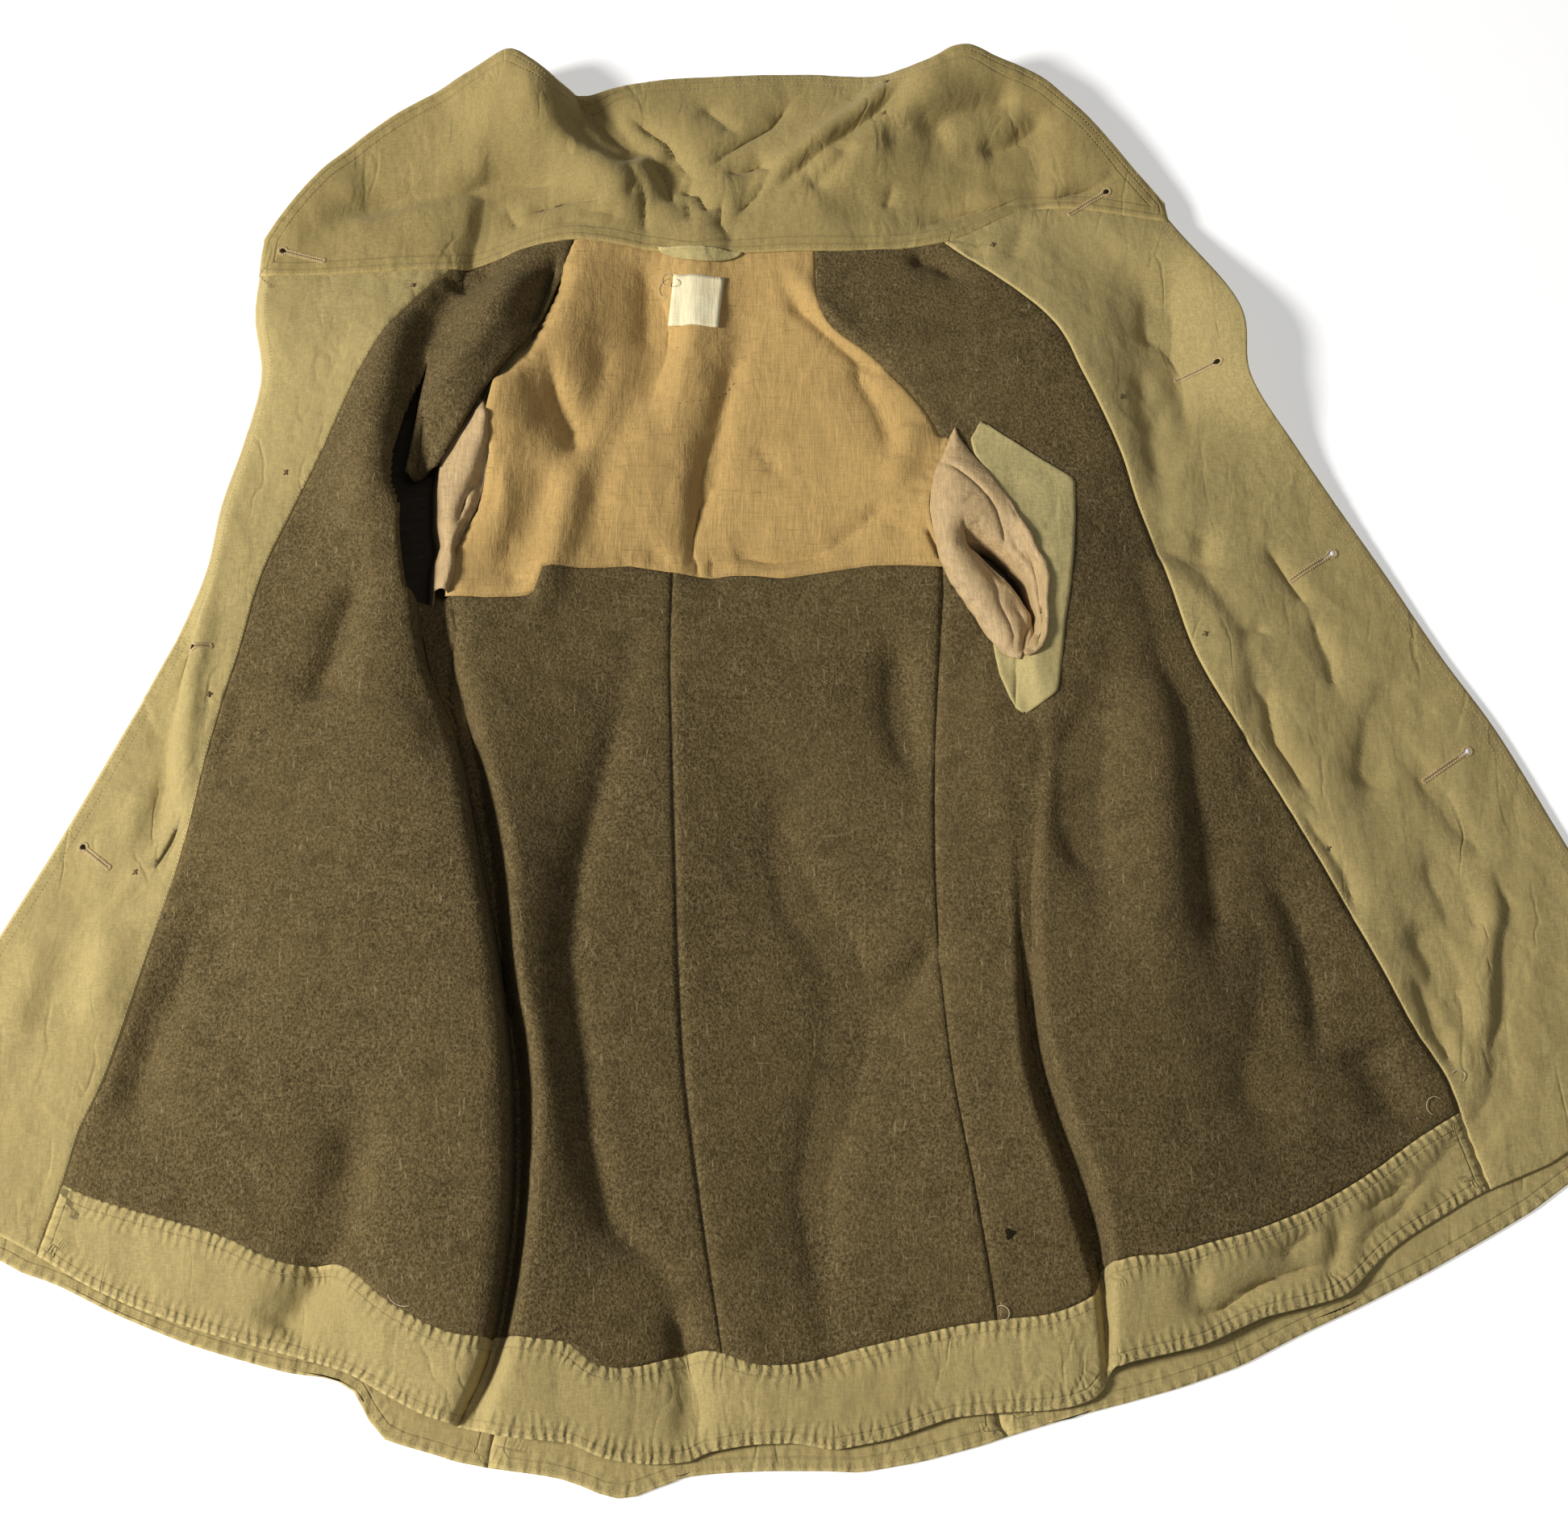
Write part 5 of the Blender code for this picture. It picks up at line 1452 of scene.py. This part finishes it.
def right_mouth_net():
    """Satin of the right armhole: a puffed left lip, a deep slit along its spine and a flatter right side."""
    rows, half = 96, 36
    v = np.linspace(0, 1, rows)
    left, spine, right = (even_path(p, rows) for p in (MOUTH_LEFT, MOUTH_SPINE, MOUTH_RIGHT))
    rims = []
    for path in (left, right):
        heights = np.array([(rest_on(*(p - MIDDLE))[0] or 16) for p in path])
        rims.append(smoothed(heights, 4))
    deep = 21 * eased((v - 0.37) / 0.16) * (1 - eased((v - 0.78) / 0.16)) + 1.0
    open_share = eased((v - 0.34) / 0.16)
    net = np.zeros((rows, 2 * half + 1, 3))
    for j in range(2 * half + 1):
        if j <= half:
            w = j / half
            spot = left * (1 - w) + spine * w
            spot = spot + np.outer(eased((v - 0.4) / 0.2), (2.2, 1.0)) * math.exp(-((w - 0.86) / 0.12) ** 2)
            puff = 9.0 * math.sin(math.pi * w ** 0.8) * np.sin(math.pi * np.clip(v, 0.02, 0.98)) ** 0.5
            height = rims[0] + 0.6 + puff - deep * eased((w - 0.82) / 0.18)
            height += 0.9 * np.sin(v * 88 + 4 * np.sin(v * 11)) * math.exp(-(w / 0.13) ** 2)
        else:
            w = (j - half) / half
            spot = spine * (1 - w) + right * w
            bulge = 0.26 * np.sin(math.pi * np.clip((v - 0.42) / 0.42, 0, 1))
            back = deep * (1 - eased((w - bulge) / 0.42)) + 2.4 * math.exp(-((w - 0.72) / 0.12) ** 2)
            height = rims[0] * (1 - w) + rims[1] * w + 1.6 - back + 2.6 * math.exp(-((w - 0.92) / 0.06) ** 2)
            height += 0.5 * np.sin(v * 70 + 3 * np.sin(v * 13)) * math.exp(-((w - 0.8) / 0.12) ** 2)
        whole = j / (2 * half)
        domed = rims[0] * (1 - whole) + rims[1] * whole + 0.7
        domed = domed + 6.5 * math.sin(math.pi * whole) ** 0.8 * np.clip(v / 0.3, 0, 1) ** 0.7
        net[:, j, :2] = spot
        net[:, j, 2] = domed * (1 - open_share) + height * open_share
    for depth, width, points in MOUTH_FOLDS:
        crease(net, depth, width, points)
    net[:, :, 2] += 0.9 * rumple(net[:, :, 0], net[:, :, 1], 11, 6.6) * (0.3 + v[:, None])
    net[:, :, 2] = np.maximum(net[:, :, 2], 1.4)
    net[:, :, :2] -= MIDDLE
    return net


def left_mouth_net():
    """Satin of the left armhole: a strip that runs on under the front, and a lip up to the yoke's seam."""
    rows, columns, under = 60, 40, 0.35     # under: share of the width that lies under the front
    seam, edge = even_path(CUFF_SEAM, rows), even_path(CUFF_LEFT, rows)
    rim = smoothed(np.array([(rest_on(p[0] - MIDDLE[0] + 4, p[1] - MIDDLE[1])[0] or 22) for p in seam]), 4)
    v = np.linspace(0, 1, rows)
    net = np.zeros((rows, columns, 3))
    for j in range(columns):
        w = j / (columns - 1)
        if w < under:
            inward = (under - w) / under
            net[:, j, :2] = edge - np.array((48.0 * inward ** 1.6, -8.0 * inward))
            net[:, j, 1] += (26 * eased((0.2 - v) / 0.2) - 30 * eased((v - 0.8) / 0.2)) * min(1, 3 * inward)
            height = 17 - 14.4 * eased(inward * 3.2)
        else:
            t = (w - under) / (1 - under)
            net[:, j, :2] = edge * (1 - t) + (seam + np.array((2.0, 0))) * t
            height = 17 + 9 * math.sin(math.pi * (0.12 + 0.6 * t)) - 6.0 * math.exp(-((t - 0.92) / 0.08) ** 2)
            height = height + (rim - 20) * t
            height += 0.9 * np.sin(v * 60 + 3 * np.sin(v * 9)) * math.exp(-((t - 1) / 0.3) ** 2)
            height -= 4.0 * eased((t - 0.93) / 0.07)
        net[:, j, 2] = height
    crease(net, 6.0, 2.6, CUFF_SLIT)
    net[:, :, 2] = np.maximum(net[:, :, 2], 2.4)
    net[:, :, :2] -= MIDDLE
    return net


def deep_strip_net():
    """Lining that lies low beneath the slot beside the shoulder tongue; the satin's painted shade makes it
    near black.
    """
    lay = lay_out()
    line = slice(first_row("chest") - ROWS // 2 - 4, first_row("arm_top") + 5)
    x, y = (lay[key][line, first_column("valley_l")] for key in ("x", "y"))
    net = np.full((len(x), 12, 3), 2.5)
    net[:, :, 0] = x[:, None] + np.linspace(-24, 9, 12)
    net[:, :, 1] = y[:, None]
    return net


class COAT_OT_sleeve_linings(bpy.types.Operator):
    """Shape the satin that shows in the two armholes"""
    bl_idname = "coat.sleeve_linings"
    bl_label = "Sleeve linings"

    def execute(self, context):
        made = add_net("sleeve_mouth_right", right_mouth_net(), 1.0)
        finish(made, satin_paint(), "pinkish_satin", "sleeve_lining_right")
        UPPER.append(made.name)
        made = add_net("sleeve_mouth_left", left_mouth_net(), 1.0)
        finish(made, satin_paint(), "pinkish_satin", "sleeve_lining_left")
        UPPER.append(made.name)
        net = deep_strip_net()
        made = add_net("sleeve_mouth_left_deep", net, 0.9)
        finish(made, satin_paint(), "pinkish_satin")
        return {"FINISHED"}


def patch_net():
    """Pocket patch laid on the wool; it goes on under the satin mouth, and has a pressed slit."""
    net = flat_net(PATCH_LEFT, PATCH_RIGHT, 64, 34)
    for point in net.reshape(-1, 3):
        point[2] = (rest_on(point[0], point[1])[0] or 16) + 0.5
    x, y = net[:, :, 0] + MIDDLE[0], net[:, :, 1] + MIDDLE[1]
    net[:, :, 2] -= np.where(inside_mouth(x, y, 0.93), 30, 0)
    net[:, :, 2] = np.maximum(net[:, :, 2], 1.0)
    away, _ = near_path(x, y, PATCH_SLIT)
    net[:, :, 2] += 0.6 * rumple(x, y, 16, 8.8) - 1.6 * np.exp(-(away / 1.1) ** 2)
    net[:, (0, -1), 2] -= 0.7
    return net


def label_net():
    """Bare label, stiffer than the muslin it lies on."""
    net = flat_net(((-73, 342.5), (-76, 304)), ((-39.5, 340), (-43, 302.5)), 14, 12)
    points = net.reshape(-1, 3)
    tops = [rest_on(p[0], p[1])[0] for p in points]
    for point, top in zip(points, tops):
        u = (point[0] + 75) / 35
        stiff = max(tops) - 2.2 + 0.4 * math.sin(point[1] / 6) - 1.2 * abs(u - 0.6)
        point[2] = max(top + 0.25, stiff)
    return net


def loop_net():
    """Hanger loop, a tape that bows out below the collar seam."""
    rows, columns = 7, 30
    net = np.zeros((rows, columns, 3))
    for j in range(columns):
        t = j / (columns - 1)
        bulge = 1.0 + 9.0 * math.sin(math.pi * t) ** 0.7
        for i in range(rows):
            s = i / (rows - 1)
            px = -83 + 55 * t - MIDDLE[0]
            py = 362.5 - 3.0 * t - bulge * i / 6 - MIDDLE[1]
            z = rest_on(px, py)[0] or 14
            net[i, j] = (px, py, z + 0.4 + 1.0 * math.sin(math.pi * t) + 0.6 * math.sin(math.pi * s))
    return net


class COAT_OT_trims(bpy.types.Operator):
    """Add the pocket patch, the bare label and the hanger loop"""
    bl_idname = "coat.trims"
    bl_label = "Patch, label and loop"

    def execute(self, context):
        patch = add_net("pocket_patch_cloth", patch_net(), 1.0)
        finish(patch, poplin_paint("plain"), "khaki_poplin", "pocket_patch")
        label = add_net("bare_label", label_net(), 0.6)
        finish(label, tape_paint(), "cream_label", "size_label")
        loop = add_net("hanger_tape", loop_net(), 0.9)
        finish(loop, poplin_paint("plain"), "khaki_poplin", "hanger_loop")
        UPPER.extend(made.name for made in (patch, label, loop))
        return {"FINISHED"}


# ---------------------------------------------------------------- stitching

def offset_path(path, by):
    """Moves a path sideways, to its left when by is positive."""
    path = np.array(path, dtype=float)
    run = np.gradient(path, axis=0)
    normal = np.column_stack([-run[:, 1], run[:, 0]])
    normal /= np.maximum(np.linalg.norm(normal, axis=1), 1e-9)[:, None]
    return path + normal * by


def line_path(line, first="neck", last="facing_foot"):
    """Path down one chalk line between two sections."""
    lay = lay_out()
    j = first_column(line)
    i, k = first_row(first), first_row(last)
    return np.column_stack([lay["x"][i:k + 1, j], lay["y"][i:k + 1, j]])


def section_path(section, left, right):
    """Path across one section between two chalk lines."""
    lay = lay_out()
    i = first_row(section)
    j, k = first_column(left), first_column(right)
    return np.column_stack([lay["x"][i, j:k + 1], lay["y"][i, j:k + 1]])


def stitch_points(path, pitch):
    """Points one stitch apart along a path."""
    path = np.asarray(path, dtype=float)
    return places_at(path, np.arange(pitch / 2, lengths_along(path)[-1], pitch))


LOZENGE = ((0, 1, 3), (0, 3, 2), (0, 2, 5), (0, 5, 1), (4, 3, 1), (4, 2, 3), (4, 5, 2), (4, 1, 5))


def add_stitches(name, paths, colour, pitch=None, slot="khaki_poplin"):
    """Rows of single stitches, each a small lozenge lying on the cloth."""
    pitch = pitch or settings().stitch_length
    points, faces = [], []
    for path in paths:
        spots = stitch_points(path, pitch)
        for a, b in zip(spots, spots[1:]):
            (za, na), (zb, nb) = rest_on(*a), rest_on(*b)
            if za is None or zb is None or abs(za - zb) > 3.0:
                continue
            p, q = Vector((*a, za)), Vector((*b, zb))
            run = q - p
            if run.length < 0.2:
                continue
            p, q = p + run * 0.12, q - run * 0.12
            up = (na + nb).normalized()
            side = run.normalized().cross(up) * STITCH_WIDTH * 0.5
            middle = (p + q) / 2
            start = len(points)
            points += [p - up * 0.15, middle + side + up * 0.05, middle - side + up * 0.05,
                       middle + up * STITCH_WIDTH * 0.8, q - up * 0.15, middle - up * 0.3]
            faces += [tuple(start + k for k in face) for face in LOZENGE]
    made = add_mesh(name, [(p * MM)[:] for p in points], faces)
    finish(made, thread_paint(name + "_thread", colour), slot)


class COAT_OT_stitching(bpy.types.Operator):
    """Sew the rows of stitches along edges, seams and hem"""
    bl_idname = "coat.stitching"
    bl_label = "Stitch rows"

    def execute(self, context):
        net = collar_net(44, 176)
        net[:, :, :2] -= MIDDLE
        edge, seam = net[-1, 4:-4, :2], net[0, 2:-2, :2]
        khaki, pale, hem_khaki = (0.50, 0.40, 0.20), (0.56, 0.46, 0.27), (0.56, 0.45, 0.24)
        add_stitches("collar_stitches",
                     [offset_path(edge, -4.5), offset_path(edge, -9.8), offset_path(seam, 2.0)], khaki)
        right, left = line_path("edge_r"), line_path("edge_l")
        add_stitches("front_edge_stitches",
                     [offset_path(right, -4.5), offset_path(right, -9.8),
                      offset_path(left, 2.4), offset_path(left, 7.6)], khaki)
        add_stitches("facing_edge_stitches",
                     [offset_path(line_path("facing_l"), -1.6),
                      offset_path(line_path("facing_r"), 1.6)], pale)
        top = section_path("facing_top", "facing_l", "facing_r")
        foot = section_path("facing_foot", "facing_l", "facing_r")
        hem = section_path("hem", "edge_l", "edge_r")
        add_stitches("hem_stitches",
                     [offset_path(top, -6.3), offset_path(foot, 2.0), offset_path(hem, 3.2)], hem_khaki)
        add_stitches("wool_seam_stitches", [line_path("centre", "yoke", "facing_top")],
                     (0.10, 0.08, 0.045), slot="olive_wool")
        add_stitches("yoke_stitches", [offset_path(section_path("yoke", "ridge_l", "side_r"), 1.8)],
                     (0.52, 0.36, 0.17), slot="tan_muslin")
        return {"FINISHED"}


def add_buttonhole(name, start, end, shows_floor):
    """Worked buttonhole: a bar of thread round a slit, with a round eye at its first end."""
    start = np.array(start, dtype=float) - MIDDLE
    end = np.array(end, dtype=float) - MIDDLE
    length = np.hypot(*(end - start))
    along = (end - start) / length
    side = np.array([-along[1], along[0]])
    eye, neck = 2.6, 5.4          # the eye's radius, and where it opens into the slit
    outline = []
    for a in math.pi * (0.22 + 1.56 * np.arange(20) / 19):
        outline.append(start + along * (2.4 + eye * math.cos(a)) + side * eye * math.sin(a))
    outline += [start + along * s - side * 1.0 for s in np.linspace(neck, length - 1.2, 34)]
    outline += [end + along * 0.4 * math.sin(a) - side * 1.0 * math.cos(a)
                for a in np.linspace(0, math.pi, 6)]
    outline += [start + along * s + side * 1.0 for s in np.linspace(length - 1.2, neck, 34)]
    outline = np.array(outline)
    count = len(outline)
    normals = offset_path(np.vstack([outline, outline[:1]]), 1.0)[:-1] - outline
    profile = ((-1.1, 0.0), (-0.8, 0.55), (0.0, 0.75), (0.75, 0.5), (1.0, -0.1))
    points, faces = [], []
    for k in range(count):
        for w, h in profile:
            x, y = outline[k] + normals[k] * w
            z = rest_on(x, y)[0] or 6
            points.append((x * MM, y * MM, (z + h * (0.8 + 0.35 * (k % 2)) - 0.05) * MM))
        points.append((outline[k][0] * MM, outline[k][1] * MM, points[-1][2] - 0.6 * MM))
    ring = len(profile) + 1
    for k in range(count):
        n = (k + 1) % count
        for s in range(ring):
            m = (s + 1) % ring
            faces.append((k * ring + s, n * ring + s, n * ring + m, k * ring + m))
    made = add_mesh(name, points, faces)
    close_up(made.data)
    finish(made, thread_paint("buttonhole_thread", (0.46, 0.34, 0.16)), "khaki_poplin")
    steps = np.linspace(0.6, length - 1.0, 16)
    net = np.zeros((len(steps), 2, 3))
    for s, pair in zip(steps, net):
        wide = 1.7 if s < 4.8 else 0.45
        for w, spot in zip((-wide, wide), pair):
            spot[:2] = start + along * s + side * w
            spot[2] = (rest_on(spot[0], spot[1])[0] or 6) + 0.12
    # the slit is a thin sheet of painted shade; in two holes its eye shows the pale floor instead
    dark = add_net(name + "_slit", net, 0.15)
    finish(dark, painted_shade_paint(), "khaki_poplin")
    if shows_floor:
        dark.data.materials.append(white_paint())
        for face in dark.data.polygons:
            face.material_index = int(max(k % net[:, :, 0].size // 2 for k in face.vertices) < 5)


def close_up(mesh):
    """Turns all faces outwards."""
    work = bmesh.new()
    work.from_mesh(mesh)
    bmesh.ops.recalc_face_normals(work, faces=work.faces)
    work.to_mesh(mesh)
    work.free()


class COAT_OT_buttonholes(bpy.types.Operator):
    """Work the buttonholes of fronts and collar"""
    bl_idname = "coat.buttonholes"
    bl_label = "Buttonholes"

    def execute(self, context):
        for name, start, end in BUTTONHOLES:
            add_buttonhole("buttonhole_" + name, start, end, name in ("front_right_2", "front_right_3"))
        return {"FINISHED"}


def thread_rings(points, radius):
    """Points and faces of one round thread along a path, mm."""
    sides = 6
    path = [Vector(p) for p in points]
    out, faces = [], []
    for k, p in enumerate(path):
        run = (path[min(k + 1, len(path) - 1)] - path[max(k - 1, 0)]).normalized()
        side = run.cross(Vector((0, 0, 1)))
        side = side.normalized() if side.length > 1e-6 else Vector((1, 0, 0))
        up = side.cross(run)
        for s in range(sides):
            a = 2 * math.pi * s / sides
            out.append(p + (side * math.cos(a) + up * math.sin(a)) * radius)
    for k in range(len(path) - 1):
        for s in range(sides):
            n = (s + 1) % sides
            faces.append((k * sides + s, k * sides + n, (k + 1) * sides + n, (k + 1) * sides + s))
    faces.append(tuple(range(sides))[::-1])
    faces.append(tuple((len(path) - 1) * sides + s for s in range(sides)))
    return out, faces


def add_threads(name, paths, radius, colour):
    """Round threads along paths, all in one piece."""
    points, faces = [], []
    for path in paths:
        more, rings = thread_rings(path, radius)
        start = len(points)
        points += more
        faces += [tuple(start + k for k in ring) for ring in rings]
    made = add_mesh(name, [(p * MM)[:] for p in points], faces, smooth=True)
    close_up(made.data)
    finish(made, thread_paint(name + "_thread", colour), "khaki_poplin")


class COAT_OT_thread_ends(bpy.types.Operator):
    """Add the crossed button threads and the loose ends"""
    bl_idname = "coat.thread_ends"
    bl_label = "Thread ends"

    def execute(self, context):
        paths = []
        for k, (x, y) in enumerate(THREAD_STUBS):
            cx, cy = x - MIDDLE[0], y - MIDDLE[1]
            turn = 0.5 + 0.35 * math.sin(k * 2.3)
            for a, spread in ((turn, 2.1), (turn + 1.6, 1.9), (turn + 0.25, 2.0), (turn + 1.3, 1.6)):
                path = []
                for t in np.linspace(-1, 1, 7):
                    px, py = cx + spread * t * math.cos(a), cy + spread * t * math.sin(a)
                    z = rest_on(px, py)[0] or 8
                    path.append((px, py, z + 0.15 + 0.6 * (1 - t * t)))
                paths.append(path)
        add_threads("button_threads", paths, 0.34, (0.20, 0.14, 0.065))
        paths, last = [], 13
        for (x, y), a, length, curl in LOOSE_ENDS:
            path = []
            px, py = x - MIDDLE[0], y - MIDDLE[1]
            for k in range(last + 1):
                z = rest_on(px, py)[0] or 4
                path.append((px, py, z + 0.3 + 0.9 * math.sin(math.pi * k / last)))
                a += curl * 0.22
                px += length / last * math.cos(a)
                py += length / last * math.sin(a)
            paths.append(path)
        add_threads("loose_ends", paths, 0.22, (0.62, 0.52, 0.34))
        return {"FINISHED"}


def moth_hole():
    """The dark hole in the wool: a thin ragged disc that lies on the cloth, painted near black as the shade
    inside the hole.
    """
    spokes = 16
    points = [(0.0, 0.0)]
    for size in (1.5, 2.7):
        for k in range(spokes):
            a = 2 * math.pi * k / spokes
            r = size * (1 + 0.25 * math.sin(3 * a + 1) + 0.12 * math.sin(5 * a))
            points.append((r * math.cos(a), 1.15 * r * math.sin(a)))
    faces, rim = [], []
    inner, outer, below = 1, 1 + spokes, 1 + 2 * spokes
    for k in range(spokes):
        n = (k + 1) % spokes
        faces.append((0, inner + k, inner + n))
        faces.append((inner + k, outer + k, outer + n, inner + n))
        rim.append((outer + n, outer + k, below + outer + k, below + outer + n))
    spots = []
    for lift in (0.25, 0.05):
        for px, py in points:
            x, y = px + (MOTH_HOLE[0] - MIDDLE[0]), py + (MOTH_HOLE[1] - MIDDLE[1])
            spots.append((x * MM, y * MM, ((rest_on(x, y)[0] or 16) + lift) * MM))
    under = [tuple(below + k for k in f[::-1]) for f in faces]
    made = add_mesh("moth_hole", spots, faces + under + rim)
    close_up(made.data)
    finish(made, painted_shade_paint(), "olive_wool")


class COAT_OT_marks(bpy.types.Operator):
    """Add the dashed stain on the yoke and the moth hole in the wool"""
    bl_idname = "coat.marks"
    bl_label = "Marks of wear"

    def execute(self, context):
        arc = np.array(STAIN_ARC, dtype=float) - MIDDLE
        add_stitches("yoke_stain", [even_path(arc, 30)], (0.17, 0.055, 0.022), pitch=4.6, slot="tan_muslin")
        moth_hole()
        return {"FINISHED"}


class COAT_OT_buttons(bpy.types.Operator):
    """Give the buttons under the fronts their plastic"""
    bl_idname = "coat.buttons"
    bl_label = "Buttons"

    def execute(self, context):
        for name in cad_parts:
            if name.startswith("button_"):
                node = bpy.data.objects[name]
                node.data.materials.clear()
                node.data.materials.append(button_paint())
        return {"FINISHED"}


# ---------------------------------------------------------------- stage

def add_light(name, place, aim, power, size, colour):
    """Round area light in watts, aimed at a point."""
    data = bpy.data.lights.new(name, "AREA")
    data.shape = "DISK"
    data.energy, data.size, data.color = power, size, colour
    made = bpy.data.objects.new(name, data)
    made.location = place
    made.rotation_euler = (Vector(aim) - Vector(place)).to_track_quat("-Z", "Y").to_euler()
    bpy.context.scene.collection.objects.link(made)


class COAT_OT_stage(bpy.types.Operator):
    """Set the pale floor, the studio light and the camera"""
    bl_idname = "coat.stage"
    bl_label = "Stage"

    def execute(self, context):
        bpy.ops.object.select_all(action="DESELECT")
        bpy.ops.mesh.primitive_plane_add(size=14, location=(0, 0, -0.0006))
        floor = bpy.context.object
        floor.name = "pale_floor"
        white = bpy.data.materials.new("pale_paper")
        white.use_nodes = True
        shader = white.node_tree.nodes["Principled BSDF"]
        shader.inputs["Base Color"].default_value = (0.95, 0.95, 0.95, 1)
        shader.inputs["Roughness"].default_value = 0.9
        shader.inputs["Specular IOR Level"].default_value = 0.0
        shader.inputs["Emission Color"].default_value = (1, 1, 1, 1)
        shader.inputs["Emission Strength"].default_value = 0.36
        floor.data.materials.append(white)
        scene = bpy.context.scene
        world = bpy.data.worlds.new("studio")
        scene.world = world
        world.use_nodes = True
        world.node_tree.nodes["Background"].inputs[0].default_value = (1.0, 1.0, 1.0, 1)
        world.node_tree.nodes["Background"].inputs[1].default_value = 0.13
        add_light("key_left", (-2.85, -0.46, 1.90), (-0.05, -0.05, 0.0), 153.0, 0.80, (1.0, 0.985, 0.95))
        add_light("fill_top", (0.6, -0.2, 2.6), (0.10, 0.0, 0.0), 6.5, 1.2, (0.98, 0.99, 1.0))
        tilt = math.radians(CAMERA_TILT)
        data = bpy.data.cameras.new("photo_camera")
        data.sensor_fit = "HORIZONTAL"
        data.angle = 2 * math.atan(PHOTO_SIZE[0] / 2 / FOCAL_PIXELS)
        camera = bpy.data.objects.new("photo_camera", data)
        camera.location = (-MIDDLE[0] * MM, (-CAMERA_REACH * math.sin(tilt) - MIDDLE[1]) * MM,
                           CAMERA_REACH * math.cos(tilt) * MM)
        camera.rotation_euler = (tilt, 0, 0)
        scene.collection.objects.link(camera)
        scene.camera = camera
        scene.view_settings.view_transform = "Standard"
        return {"FINISHED"}


class COAT_PT_panel(bpy.types.Panel):
    """Lists the coat's steps in the 3D view's sidebar"""
    bl_idname = "COAT_PT_panel"
    bl_label = "Coat"
    bl_space_type = "VIEW_3D"
    bl_region_type = "UI"
    bl_category = "Coat"

    def draw(self, context):
        for name in CoatSettings.__annotations__:
            self.layout.prop(context.scene.coat_settings, name)
        for step in STEPS:
            self.layout.operator(step.bl_idname)


STEPS = (COAT_OT_outer_cloth, COAT_OT_sleeves, COAT_OT_wool, COAT_OT_yoke, COAT_OT_facings,
         COAT_OT_hem_facing, COAT_OT_collar, COAT_OT_trims, COAT_OT_sleeve_linings, COAT_OT_stitching,
         COAT_OT_buttonholes, COAT_OT_thread_ends, COAT_OT_marks, COAT_OT_buttons, COAT_OT_stage)
CLASSES = (CoatSettings, *STEPS, COAT_PT_panel)


def register():
    for kind in CLASSES:
        bpy.utils.register_class(kind)
    bpy.types.Scene.coat_settings = bpy.props.PointerProperty(type=CoatSettings)


def unregister():
    del bpy.types.Scene.coat_settings
    for kind in reversed(CLASSES):
        bpy.utils.unregister_class(kind)


def main():
    register()
    for step in STEPS:
        group, name = step.bl_idname.split(".")
        getattr(getattr(bpy.ops, group), name)()
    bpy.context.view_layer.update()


if __name__ == "__main__":
    main()
